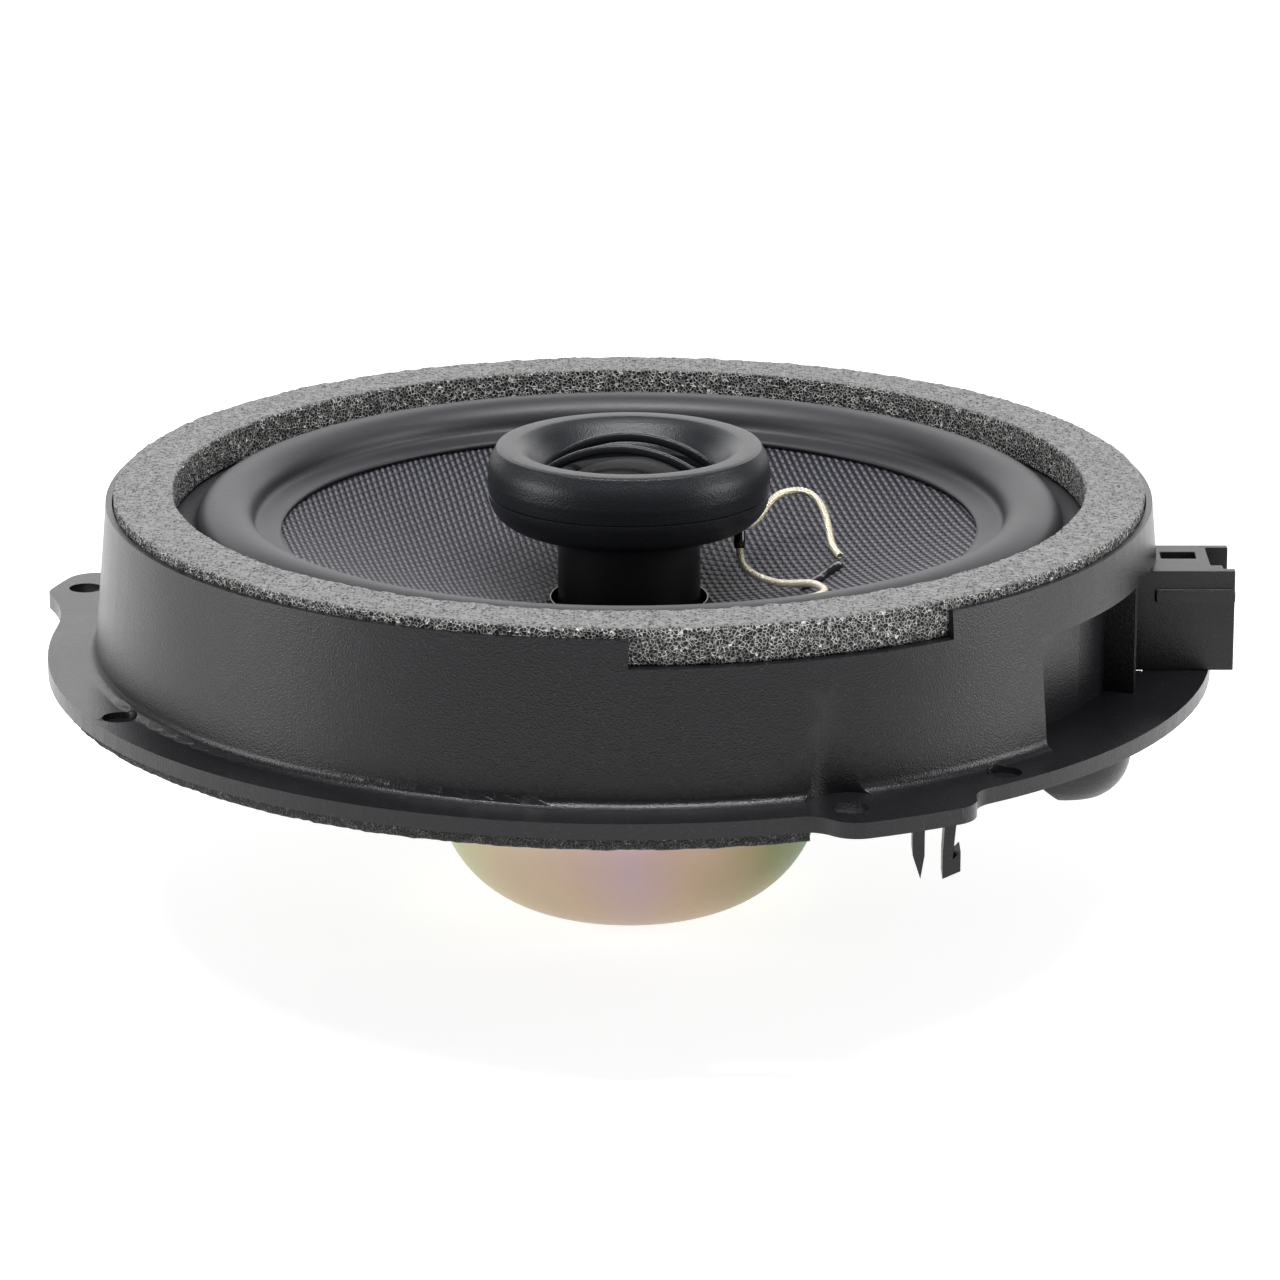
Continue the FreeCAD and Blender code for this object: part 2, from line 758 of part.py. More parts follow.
def leg_web(index, angle, seat_outer, knee_radius):
    """An upright web under a leg, from the motor platform out to the bowl's wall."""
    web = doc.addObject("PartDesign::Body", f"leg_web_{index}")
    section = draw(web, "XZ_Plane", [
        (s.platform_radius - s.leg_web_overlap, s.platform_height),
        (seat_outer, s.spider_seat_height - s.seat_thick - s.leg_web_drop),
        (knee_radius, flange_bottom),
        (knee_radius, s.bowl_knee_height),
        (s.spider_seat_radius + 0.6, s.spider_seat_height - s.seat_thick / 2),
        (s.spider_seat_radius - s.spider_seat_width, s.spider_seat_height - s.seat_thick / 2),
        (s.platform_radius - s.leg_web_overlap, s.platform_height + s.platform_thick / 2),
    ], f"leg_web_{index}_outline")
    pad = web.newObject("PartDesign::Pad", f"leg_web_{index}_pad")
    pad.Profile = section
    pad.Midplane = True
    bind(pad, Length=s.leg_web)
    return place(web, turn=angle)


def make_connector():
    inner_long = s.plug_mouth - s.plug_back - s.plug_wall
    wide = s.plug_far - s.plug_near
    body = block("plug_body", s.plug_back, s.plug_near, s.flange_top,
                 s.plug_mouth - s.plug_back, wide, s.plug_height)
    rail = block("plug_rail", s.plug_back + 3.4, s.plug_near - s.plug_rail,
                 plug_top - s.plug_rail_drop - s.plug_rail_height,
                 s.plug_mouth - s.plug_back - 3.4, s.plug_rail + 0.5, s.plug_rail_height)
    socket = block("plug_socket", s.plug_back + s.plug_wall, s.plug_near + s.plug_wall,
                   s.flange_top + s.plug_wall, inner_long + 1, wide - s.plug_wall * 2,
                   s.plug_height - s.plug_wall * 2)
    latch = block("plug_latch_window", s.latch_start, s.latch_near, plug_top - s.plug_wall - 1,
                  s.latch_length, s.latch_width, s.plug_wall + 2)
    key = block("plug_keyway", s.key_start, s.key_near, plug_top - s.plug_wall - 1,
                s.plug_mouth - s.key_start + 1, s.plug_far - s.key_near - s.plug_wall,
                s.plug_wall + 2)
    notch = block("plug_notch", s.key_notch_start, s.plug_near + s.plug_wall,
                  plug_top - s.plug_wall - 1, s.plug_mouth - s.key_notch_start + 1,
                  s.key_near - s.plug_near, s.plug_wall + 2)
    slots = [blade_block(f"blade_slot_{index}", index) for index in (0, 1)]
    blank = join("connector_blank", [body, rail])
    node("connector_shell", cut("connector_shell", blank, [socket, latch, key, notch] + slots))
    for index, label in enumerate(("terminal_blade_plus", "terminal_blade_minus")):
        node(label, blade_block(label, index))


def blade_block(name, index):
    """One flat terminal blade, through the connector's back wall to its tail."""
    centre = (s.plug_near + s.plug_far) / 2 + (index - 0.5) * s.blade_gap
    return block(name, s.plug_back - s.blade_tail, centre - s.blade_wide / 2, s.blade_height,
                 s.blade_tail + s.plug_wall + s.blade_reach, s.blade_wide, s.blade_thick)


def make_gaskets():
    node("front_gasket", turned("front_gasket", [
        (FOAM_INNER, foam_seat),
        (s.foam_outer_radius, foam_seat),
        (s.foam_outer_radius, foam_seat + s.foam_thick),
        (FOAM_INNER, foam_seat + s.foam_thick),
    ]))
    node("rear_gasket", sector(
        "rear_gasket", s.rear_foam_inner, REAR_FOAM_OUTER, s.rear_foam_start,
        s.rear_foam_sweep, flange_bottom - s.rear_foam_thick, s.rear_foam_thick))


# The line that each snap prong bends about, as (across, up).
left_root = (s.left_prong_place + s.left_prong_wide / 2, flange_bottom - s.prong_root_gap)
right_root = (s.right_prong_place + s.right_prong_wide / 2, flange_bottom - s.prong_root_gap)


def make_prongs():
    """Two facing prongs that squeeze together when the flange is pushed home."""
    root = flange_bottom - s.prong_root_gap
    tip = flange_bottom - s.prong_reach
    left = s.left_prong_place
    left_far = left + s.left_prong_wide
    left_stem = side_plate("left_prong_stem", [
        (left_root[0] - s.prong_root_radius, root),
        (left, tip + s.prong_point),
        (left_far - s.prong_barb, tip),
        (left_far, tip + s.prong_point),
        (left_root[0] + s.prong_root_radius, root),
    ], s.prong_back, s.prong_depth)
    right = s.right_prong_place
    far = right + s.right_prong_wide
    barb = tip + s.prong_point
    right_stem = side_plate("right_prong_stem", [
        (right_root[0] - s.prong_root_radius, root),
        (right, barb),
        (right, tip),
        (far, tip + s.prong_point / 3),
        (far, barb + s.prong_barb),
        (far - s.prong_barb * 2, barb - s.prong_barb),
        (right_root[0] + s.prong_root_radius, root),
    ], s.prong_back, s.prong_depth)
    for label, stem, centre in (("snap_prong_left", left_stem, left_root),
                                ("snap_prong_right", right_stem, right_root)):
        root_bar = prong_root(f"{label}_root", centre, s.prong_root_radius, s.prong_depth,
                              s.prong_back)
        node(label, join(label, [stem, root_bar]))


def make_motor():
    plate_bottom = s.platform_height - s.top_plate_thick
    inner = s.cup_radius - s.cup_wall
    flat = s.cup_radius - s.cup_corner
    node("motor_cup", turned("motor_cup", [
        (0, 0),
        (flat, 0),
        (s.cup_radius, s.cup_corner, s.cup_corner),
        (s.cup_radius, CUP_HEIGHT),
        (inner, CUP_HEIGHT),
        (inner, s.cup_corner),
        (flat, s.cup_wall, -(s.cup_corner - s.cup_wall)),
        (0, s.cup_wall),
    ]))
    edge = s.magnet_edge
    node("bucking_magnet", turned("bucking_magnet", [
        (s.bucking_bore, s.cup_wall),
        (s.bucking_radius - 4 * edge, s.cup_wall),
        (s.bucking_radius, s.cup_wall + 2 * edge),
        (s.bucking_radius, s.yoke_height),
        (s.bucking_bore, s.yoke_height),
    ]))
    yoke_top = s.yoke_height + s.yoke_thick
    magnet_radius = inner - s.magnet_gap
    node("pole_yoke", turned("pole_yoke", [
        (s.bolt_radius, s.yoke_height),
        (s.yoke_radius, s.yoke_height),
        (s.yoke_radius, yoke_top),
        (s.pole_radius, yoke_top),
        (s.pole_radius, POLE_HEIGHT),
        (s.bolt_radius, POLE_HEIGHT),
    ]))
    node("ferrite_magnet", turned("ferrite_magnet", [
        (s.magnet_bore, yoke_top),
        (magnet_radius - edge, yoke_top),
        (magnet_radius, yoke_top + edge),
        (magnet_radius, plate_bottom - edge),
        (magnet_radius - edge, plate_bottom),
        (s.magnet_bore, plate_bottom),
    ]))
    screws = []
    shanks = []
    platform_top = s.platform_height + s.platform_thick
    for index in range(SIZES["screw_count"]):
        head = disc(f"screw_head_{index}", s.screw_head_radius, platform_top,
                    s.screw_head_thick, *screw_place(index))
        long = s.top_plate_thick + s.platform_thick
        shank = screw_shank(f"screw_shank_{index}", index, plate_bottom, long)
        screws.append(join(f"screw_{index}", [head, shank]))
        shanks.append(screw_shank(f"screw_thread_{index}", index, plate_bottom, long))
    plate_bore = former_outside + s.winding_thick + s.coil_clearance
    plate_radius = inner - s.top_plate_gap
    top = turned("top_plate_blank", [
        (plate_bore, plate_bottom),
        (plate_radius, plate_bottom),
        (plate_radius, s.platform_height),
        (plate_bore, s.platform_height),
    ])
    node("top_plate", cut("top_plate", top, shanks))
    group = doc.addObject("Part::Compound", "motor_screws")
    group.Links = screws
    node("motor_screws", group)
    bolt_end = POLE_HEIGHT + s.bolt_thread
    head_bottom = s.yoke_height - s.bolt_head_thick
    node("post_bolt", turned("post_bolt", [
        (0, head_bottom),
        (s.bolt_head_radius, head_bottom),
        (s.bolt_head_radius, s.yoke_height),
        (s.bolt_radius, s.yoke_height),
        (s.bolt_radius, bolt_end - 0.8),
        (s.bolt_radius - 0.8, bolt_end),
        (0, bolt_end),
    ]))


def cone_height(radius):
    """The height of the cone's lower face at a radius."""
    run = s.cone_edge_radius - former_outside
    return s.neck_height + (radius - former_outside) * (s.cone_edge_height - s.neck_height) / run

def make_cone():
    node("voice_coil_former", turned("voice_coil_former", [
        (s.former_radius, s.former_bottom),
        (former_outside, s.former_bottom),
        (former_outside, s.former_top),
        (s.former_radius, s.former_top),
    ]))
    node("voice_coil", turned("voice_coil", [
        (former_outside, s.former_bottom + 0.4),
        (former_outside + s.winding_thick, s.former_bottom + 0.4),
        (former_outside + s.winding_thick, s.former_bottom + 0.4 + s.winding_length),
        (former_outside, s.former_bottom + 0.4 + s.winding_length),
    ]))
    node("cone", turned("cone", [
        (former_outside, s.neck_height - s.neck_collar),
        (former_outside + s.cone_thick, s.neck_height - s.neck_collar),
        (former_outside + s.cone_neck_fillet, cone_height(former_outside + s.cone_neck_fillet)),
        (s.cone_edge_radius, s.cone_edge_height),
        (CONE_FLANGE, s.cone_edge_height + s.cone_edge_rise),
        (CONE_FLANGE, s.cone_edge_height + s.cone_edge_rise + s.cone_thick),
        (s.cone_edge_radius, s.cone_edge_height + s.cone_thick),
        (former_outside, s.neck_height + s.cone_thick),
    ]))
    lip_bottom = s.cone_edge_height + s.cone_edge_rise + s.cone_thick + s.surround_gap
    lip_top_edge = lip_bottom + s.surround_thick
    half = (ROLL_OUTER - ROLL_INNER) / 2
    crest = ROLL_INNER + half
    flange_top = s.shelf_height + s.surround_thick
    inner_root = lip_top_edge + s.lip_rise
    crest_top = flange_top + s.roll_height
    bend = s.roll_height + 0.9
    thin = s.surround_thick
    node("surround", turned("surround", [
        (SURROUND_INNER, lip_bottom - 0.4),
        (ROLL_INNER + thin, inner_root - thin - 0.2),
        (crest, crest_top - thin, -bend),
        (ROLL_OUTER - thin, flange_top - thin, -bend),
        (SURROUND_FLANGE, s.shelf_height),
        (SURROUND_FLANGE, foam_seat),
        (FOAM_INNER - 1.0, foam_seat),
        (FOAM_INNER - 1.6, flange_top),
        (ROLL_OUTER, flange_top),
        (crest, crest_top, bend + thin),
        (ROLL_INNER, inner_root, bend + thin),
        (SURROUND_INNER, lip_top_edge - 0.4),
    ]))
    inner = former_outside + s.former_thick + s.spider_gap
    outer = s.spider_seat_radius - 0.4
    flat = s.spider_seat_radius - s.spider_seat_width - 0.6
    bottom = s.spider_seat_height
    across = (flat - inner) / s.spider_waves
    lower = [(inner, bottom)]
    for index in range(SIZES["spider_waves"]):
        lower.append((inner + across * (index + 0.5), bottom + s.spider_wave))
        lower.append((inner + across * (index + 1.0), bottom))
    lower.append((outer, bottom))
    spider_points = lower + [(x, z + s.spider_thick) for x, z in reversed(lower)]
    node("spider", turned("spider", spider_points))
    make_lead_glue()


def make_lead_glue():
    """The hardened glue beads on the cone, one just past the end of each braided lead."""
    beads = []
    for index, route in enumerate((LOWER_LEAD, UPPER_LEAD)):
        end = FreeCAD.Vector(*route[-1])
        onward = end - FreeCAD.Vector(*route[-2])
        onward.z = 0
        onward.normalize()
        beyond = s.bead_radius + s.bead_gap
        across = end.x + onward.x * beyond
        along = end.y + onward.y * beyond
        radius = (across * across + along * along).root()
        bottom = cone_height(radius + s.bead_radius) + s.cone_thick + s.bead_gap / 2
        beads.append(disc(f"bead_{index}", s.bead_radius, bottom, s.bead_height, across, along))
    node("lead_glue", join("lead_glue", beads))


def make_tweeter(sleeves):
    post = turned("tweeter_post", [
        (s.bolt_radius, POLE_HEIGHT),
        (s.post_radius, POLE_HEIGHT),
        (s.post_radius, s.post_top),
        (s.post_bore, s.post_top),
        (s.post_bore, POLE_HEIGHT + s.post_floor),
        (0, POLE_HEIGHT + s.post_floor),
        (0, POLE_HEIGHT + s.bolt_thread),
        (s.bolt_radius - 0.8, POLE_HEIGHT + s.bolt_thread),
        (s.bolt_radius, POLE_HEIGHT + s.bolt_thread - 0.8),
    ])
    node("tweeter_post", post)
    floor = s.tweeter_yoke_floor
    cavity = s.tweeter_yoke_radius + 0.3
    base_blank = turned("tweeter_base_blank", [
        (s.post_bore, s.post_top),
        (s.head_floor_radius, s.post_top),
        (s.head_knee_radius, s.post_top + s.head_knee_rise),
        (s.head_parting_radius, s.head_parting, s.head_belly),
        (cavity, s.head_parting),
        (cavity, floor),
        (s.post_bore, floor),
    ])
    lower_hole, upper_hole = sleeves
    base_half = cut("tweeter_base_half", base_blank, [lower_hole])
    node("tweeter_base", cut("tweeter_base", base_half, [upper_hole]))
    ledge = floor + s.tweeter_yoke_height + s.tweeter_gap
    housing = turned("tweeter_housing_ring", [
        (cavity, s.head_parting),
        (s.head_parting_radius, s.head_parting),
        (s.head_radius, s.throat_height, 12.0),
        (s.head_rim_radius, s.head_top - 0.3, 5.2),
        (s.head_rim_radius - 0.9, s.head_top, 1.0),
        (s.funnel_radius, s.head_top - 0.5),
        (s.throat_radius, s.throat_height, -9.0),
        (s.throat_radius, ledge),
        (cavity, ledge),
    ])
    bars = []
    for index, side in enumerate((-1, 1)):
        bars.append(guard_bar(index, side))
    node("tweeter_housing", join("tweeter_housing", [housing] + bars))
    yoke_top = floor + s.tweeter_yoke_height
    node("tweeter_yoke", turned("tweeter_yoke", [
        (0, floor),
        (s.tweeter_yoke_radius, floor),
        (s.tweeter_yoke_radius, yoke_top),
        (s.tweeter_yoke_bore, yoke_top),
        (s.tweeter_yoke_bore, floor + s.tweeter_yoke_base),
        (0, floor + s.tweeter_yoke_base),
    ]))
    plate_top = yoke_top - s.tweeter_plate_drop
    plate_low = plate_top - s.tweeter_plate_thick
    node("tweeter_magnet", disc("tweeter_magnet", s.tweeter_magnet_radius,
                                floor + s.tweeter_yoke_base,
                                plate_low - floor - s.tweeter_yoke_base))
    node("tweeter_top_plate", disc("tweeter_top_plate", s.tweeter_plate_radius, plate_low,
                                   s.tweeter_plate_thick))
    base = yoke_top + s.tweeter_gap
    thin = s.dome_thick
    crown = (s.dome_radius * s.dome_radius + s.dome_rise * s.dome_rise) / (s.dome_rise * 1.8)
    node("tweeter_dome", turned("tweeter_dome", [
        (s.dome_radius - s.dome_rim, base),
        (s.dome_radius, base),
        (s.dome_radius, base + thin),
        (s.dome_flat, base + thin + s.dome_rise, crown),
        (0, base + thin + s.dome_rise),
        (0, base + s.dome_rise),
        (s.dome_flat, base + s.dome_rise),
        (s.dome_radius - s.dome_rim, base + s.dome_rim / 2, -crown),
    ]))
    coil_outer = s.tweeter_coil_radius + s.tweeter_coil_thick
    node("tweeter_coil", turned("tweeter_coil", [
        (s.tweeter_coil_radius, base - s.tweeter_coil_length),
        (coil_outer, base - s.tweeter_coil_length),
        (coil_outer, base),
        (s.tweeter_coil_radius, base),
    ]))
    roll_inner = s.dome_radius + s.tweeter_gap
    middle = (roll_inner + s.tweeter_roll_outer) / 2
    node("tweeter_surround", turned("tweeter_surround", [
        (roll_inner, base + thin),
        (middle, base + 1.0),
        (s.tweeter_roll_outer, base),
        (s.tweeter_roll_outer, base - s.tweeter_gap),
        (s.tweeter_yoke_radius, base - s.tweeter_gap),
        (s.tweeter_yoke_radius, base),
        (s.tweeter_roll_outer + thin, base),
        (middle, base + 1.0 + thin),
        (roll_inner, base + 2 * thin),
    ]))
    node("crossover_capacitor", disc("crossover_capacitor", s.capacitor_radius,
                                     POLE_HEIGHT + s.post_floor, s.capacitor_length))


def guard_bar(index, side):
    """One arched bar over the dome, from funnel wall to funnel wall."""
    bar = doc.addObject("PartDesign::Body", f"guard_bar_{index}")
    middle = s.bar_offset * side
    chord = s.throat_radius + 1.2
    foot = s.throat_height + 0.2
    rise = s.bar_rise - s.bar_tall
    lower = (chord * chord + rise * rise) / (rise * 2)
    upper = (chord * chord + s.bar_rise * s.bar_rise) / (s.bar_rise * 2)
    section = draw(bar, "XZ_Plane", [
        (-chord, foot - s.bar_tall * 0.6),
        (0, foot + rise, -lower),
        (chord, foot - s.bar_tall * 0.6, -lower),
        (chord, foot),
        (0, foot + s.bar_rise, upper),
        (-chord, foot, upper),
    ], f"guard_bar_{index}_outline")
    pad = bar.newObject("PartDesign::Pad", f"guard_bar_{index}_pad")
    pad.Profile = section
    pad.Midplane = True
    bind(pad, Length=s.bar_wide)
    turn = s.bar_turn
    across, along = polar(middle, turn + 90)
    return place(bar, across, along, 0, turn)


def lead_path(route):
    """Straight runs joined by tangent arcs, each as large as its two runs allow."""
    points = [FreeCAD.Vector(*point) for point in route]
    edges = []
    radii = []
    last = points[0]
    for before, corner, after in zip(points, points[1:], points[2:]):
        arrive = (corner - before).normalize()
        leave = (after - corner).normalize()
        half_turn = arrive.getAngle(leave) / 2
        trim = 0.45 * min((corner - before).Length, (after - corner).Length)
        radius = trim / math.tan(half_turn)
        start = corner - arrive * trim
        end = corner + leave * trim
        inward = (leave - arrive).normalize()
        centre = corner + inward * (radius / math.cos(half_turn))
        middle = centre - inward * radius
        edges.append(Part.LineSegment(last, start).toShape())
        edges.append(Part.Arc(start, middle, end).toShape())
        radii.append(round(radius, 1))
        last = end
    edges.append(Part.LineSegment(last, points[-1]).toShape())
    return Part.Wire(edges), radii


def make_leads():
    """Both braided leads. Returns two sets of sleeves: one for the node, one to cut with."""
    sleeves = ([], [])
    for label, route in (("front_lead_lower", LOWER_LEAD), ("front_lead_upper", UPPER_LEAD)):
        path, radii = lead_path(route)
        first = path.Edges[0]
        direction = (first.lastVertex().Point - first.firstVertex().Point).normalize()
        ring = Part.Circle(FreeCAD.Vector(*route[0]), direction, s.lead_diameter.value / 2)
        section = Part.Wire([ring.toShape()])
        lead = doc.addObject("Part::Feature", label)
        lead.Shape = path.makePipeShell([section], True, False)
        lead.Placement = FreeCAD.Placement()
        expected = path.Length * math.pi * (s.lead_diameter.value / 2) ** 2
        print(f"{label}: length {path.Length:.1f} mm, radii {radii}, "
              f"volume ratio {lead.Shape.Volume / expected:.3f}")
        node(label, lead)
        # the sleeve ends at the lead's first point and runs back up into the tweeter's base
        for group, clearance in zip(sleeves, (0, s.sleeve_clearance)):
            sleeve = doc.addObject("Part::Cylinder", f"{label}_sleeve")
            bind(sleeve, Radius=s.sleeve_radius + clearance, Height=s.sleeve_length + clearance)
            sleeve.Placement = FreeCAD.Placement(
                FreeCAD.Vector(*route[0]),
                FreeCAD.Rotation(FreeCAD.Vector(0, 0, 1), -direction),
            )
            group.append(sleeve)
    pair = doc.addObject("Part::Compound", "lead_sleeves")
    pair.Links = sleeves[0]
    node("lead_sleeves", pair)
    return sleeves[1]


make_gaskets()
make_connector()
make_motor()
make_cone()
make_tweeter(make_leads())
make_prongs()
node("basket", make_basket())
doc.recompute()

faults = []
for thing in doc.Objects:
    if {"Invalid", "Error"} & set(thing.State):
        faults.append(f"{thing.Name}: {thing.State}")
for thing in NODES:
    if thing.Shape.isNull() or not thing.Shape.isValid():
        faults.append(f"{thing.Label}: bad shape")
if faults:
    raise RuntimeError("; ".join(faults))

os.makedirs("parts", exist_ok=True)
for thing in NODES:
    thing.Shape.exportStep(f"parts/{thing.Label}.step")
    solids = len(thing.Shape.Solids)
    print(f"{thing.Label}: {solids} solid(s), {thing.Shape.Volume:.0f} cubic mm")
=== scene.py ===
# %% [markdown]
# # A coaxial car speaker
# The real object is a 165 mm class driver: a black moulded basket, a woven cone on a rubber
# roll, a small tweeter held on a post in the middle, and foam gaskets that seal it to a door.
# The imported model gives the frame. Every piece made here goes where that frame says.

# %% Load the frame
import json
import math

import bmesh
import bpy
import numpy as np
from mathutils import Euler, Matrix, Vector


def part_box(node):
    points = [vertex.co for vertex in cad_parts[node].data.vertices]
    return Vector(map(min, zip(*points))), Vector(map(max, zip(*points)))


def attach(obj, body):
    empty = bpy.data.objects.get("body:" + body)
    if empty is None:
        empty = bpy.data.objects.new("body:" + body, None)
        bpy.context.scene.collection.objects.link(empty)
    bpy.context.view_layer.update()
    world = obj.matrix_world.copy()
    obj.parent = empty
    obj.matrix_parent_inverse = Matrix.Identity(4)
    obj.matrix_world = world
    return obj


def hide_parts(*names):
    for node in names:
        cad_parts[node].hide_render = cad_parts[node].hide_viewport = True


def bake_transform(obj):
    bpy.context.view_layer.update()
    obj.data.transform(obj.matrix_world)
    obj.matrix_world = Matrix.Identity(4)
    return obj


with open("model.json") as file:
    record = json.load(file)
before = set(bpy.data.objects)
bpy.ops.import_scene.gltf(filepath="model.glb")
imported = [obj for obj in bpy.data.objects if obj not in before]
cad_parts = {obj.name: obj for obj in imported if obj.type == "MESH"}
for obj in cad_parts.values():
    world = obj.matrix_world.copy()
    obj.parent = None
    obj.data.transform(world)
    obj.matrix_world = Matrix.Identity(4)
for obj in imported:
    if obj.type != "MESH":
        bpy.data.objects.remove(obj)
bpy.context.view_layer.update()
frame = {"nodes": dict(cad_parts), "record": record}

MM = 0.001
NODES = frame["nodes"]
FRAME_BODY = "frame"
CONE_BODY = "cone_assembly"
DOME_BODY = "tweeter_diaphragm"

scene = bpy.context.scene
print("the frame has", len(NODES), "nodes")

# %% [markdown]
# ## Camera and studio
# The camera stands in front of the speaker and looks down at it by about seventeen degrees
# through a long lens, so the round parts show as flat ovals. The floor is pale and plain. A
# broad light overhead and two tall ones at the sides leave long soft gleams on the plastic.

# %% Camera
CAMERA_PLACE = (0.00176, -0.94393, 0.32669)
CAMERA_TILT = 73.294
CAMERA_LENS = 171.66

camera_data = bpy.data.cameras.new("camera")
camera_data.lens = CAMERA_LENS
camera_data.sensor_width = 36.0
camera = bpy.data.objects.new("camera", camera_data)
camera.location = CAMERA_PLACE
camera.rotation_euler = Euler((math.radians(CAMERA_TILT), 0.0, 0.0))
scene.collection.objects.link(camera)
scene.camera = camera


# %% Floor, lights and surroundings
def link(obj):
    scene.collection.objects.link(obj)
    return obj


def mesh_object(name, vertices, faces, smooth=True):
    """A new piece from plain lists, with its place in its mesh."""
    mesh = bpy.data.meshes.new(name)
    mesh.from_pydata([tuple(v) for v in vertices], [], [tuple(f) for f in faces])
    mesh.update()
    mesh.polygons.foreach_set("use_smooth", [smooth] * len(mesh.polygons))
    return link(bpy.data.objects.new(name, mesh))


FLOOR_HALF = 6.0
floor = mesh_object(
    "floor",
    [(-FLOOR_HALF, -FLOOR_HALF, 0), (FLOOR_HALF, -FLOOR_HALF, 0),
     (FLOOR_HALF, FLOOR_HALF, 0), (-FLOOR_HALF, FLOOR_HALF, 0)],
    [(0, 1, 2, 3)],
)
floor_paint = bpy.data.materials.new("pale_floor")
floor_paint.use_nodes = True
floor_sockets = floor_paint.node_tree.nodes["Principled BSDF"].inputs
for socket_name, value in (("Base Color", (0.5, 0.5, 0.5, 1)), ("Roughness", 0.9),
                           ("Emission Color", (1, 1, 1, 1)), ("Emission Strength", 0.8)):
    floor_sockets[socket_name].default_value = value
floor.data.materials.append(floor_paint)

world = bpy.data.worlds.new("studio")
world.use_nodes = True
world.node_tree.nodes["Background"].inputs["Color"].default_value = (1, 1, 1, 1)
world.node_tree.nodes["Background"].inputs["Strength"].default_value = 0.16
scene.world = world

for light_name, place, target_height, size, power in (
        ("top_light", (0.0, 0.10, 1.1), 0.05, (1.1, 0.7), 4),
        ("back_light", (0.0, 1.35, 0.55), 0.05, (2.6, 0.8), 12),
        ("left_light", (-0.90, -0.18, 0.22), 0.06, (0.50, 0.35), 4),
        ("right_light", (0.90, -0.15, 0.25), 0.06, (0.30, 0.45), 4),
        ("strip_light", (0.0, -0.25, 1.2), 0.05, (1.2, 0.06), 20)):
    light_data = bpy.data.lights.new(light_name, "AREA")
    light_data.shape = "RECTANGLE"
    light_data.size, light_data.size_y = size
    light_data.energy = power
    light = link(bpy.data.objects.new(light_name, light_data))
    light.location = place
    direction = Vector((0, 0, target_height)) - Vector(place)
    light.rotation_euler = direction.to_track_quat("-Z", "Y").to_euler()
scene.view_settings.view_transform = "Standard"

# %% [markdown]
# ## Shader groups
# Three effects turn up in more than one finish, so each is a node group with named sockets: the
# fine sparkling grain of moulded plastic, the crossing yarns of a cloth, and the cells of a
# foam. A group gives only values. The shader itself stays in each material.


# %% A small language for node trees
class Tree:
    """Adds nodes to one node tree and joins them, left to right."""

    def __init__(self, node_tree):
        self.tree = node_tree
        self.column = 0

    def add(self, kind, inputs=None, **settings):
        node = self.tree.nodes.new(kind)
        node.location = (self.column, 0)
        self.column += 180
        for key, value in settings.items():
            setattr(node, key, value)
        for key, value in (inputs or {}).items():
            self.feed(node.inputs[key], value)
        return node

    def feed(self, socket, value):
        """Joins a socket, or the first output of a node, or sets a plain value."""
        if isinstance(value, bpy.types.Node):
            value = value.outputs[0]
        if isinstance(value, bpy.types.NodeSocket):
            self.tree.links.new(value, socket)
        else:
            socket.default_value = value

    def maths(self, operation, first, second=0.0, clamp=False):
        return self.add("ShaderNodeMath", {0: first, 1: second}, operation=operation,
                        use_clamp=clamp)

    def scaled(self, value, gain, base=0.0):
        """The value times the gain, on top of the base."""
        return self.add("ShaderNodeMath", {0: value, 1: gain, 2: base},
                        operation="MULTIPLY_ADD")

    def noise(self, place, scale, detail=2.0):
        return self.add("ShaderNodeTexNoise", {
            "Vector": place, "Scale": scale, "Detail": detail})

    def ramp(self, value, stops):
        node = self.add("ShaderNodeValToRGB", {0: value})
        elements = node.color_ramp.elements
        while len(elements) < len(stops):
            elements.new(0.5)
        for element, (place, colour) in zip(elements, stops):
            element.position = place
            element.color = (*colour, 1)
        return node

    def mix(self, factor, first, second):
        """A colour between two others, each a socket or three numbers."""
        node = self.add("ShaderNodeMix", data_type="RGBA")
        for index, value in ((0, factor), (6, first), (7, second)):
            self.feed(node.inputs[index], (*value, 1) if isinstance(value, tuple) else value)
        return node.outputs[2]

    def place(self):
        return self.add("ShaderNodeTexCoord").outputs["Object"]


FLOAT, INTEGER = "NodeSocketFloat", "NodeSocketInt"
MATERIAL, OBJECT, MESH = "NodeSocketMaterial", "NodeSocketObject", "NodeSocketGeometry"


def node_group(name, kind, inputs, outputs):
    """A new group with named sockets, a helper that fills it, and the inputs to fill it from."""
    group = bpy.data.node_groups.new(name, kind)
    for way, sockets in (("INPUT", inputs), ("OUTPUT", outputs)):
        for label, (socket_type, value) in sockets.items():
            socket = group.interface.new_socket(name=label, in_out=way, socket_type=socket_type)
            if value is not None:
                socket.default_value = value
    helper = Tree(group)
    return group, helper, helper.add("NodeGroupInput").outputs


def shader_group(name, inputs, outputs):
    return node_group(name, "ShaderNodeTree",
                      {label: (FLOAT, value) for label, value in inputs.items()},
                      {label: (FLOAT, None) for label in outputs})


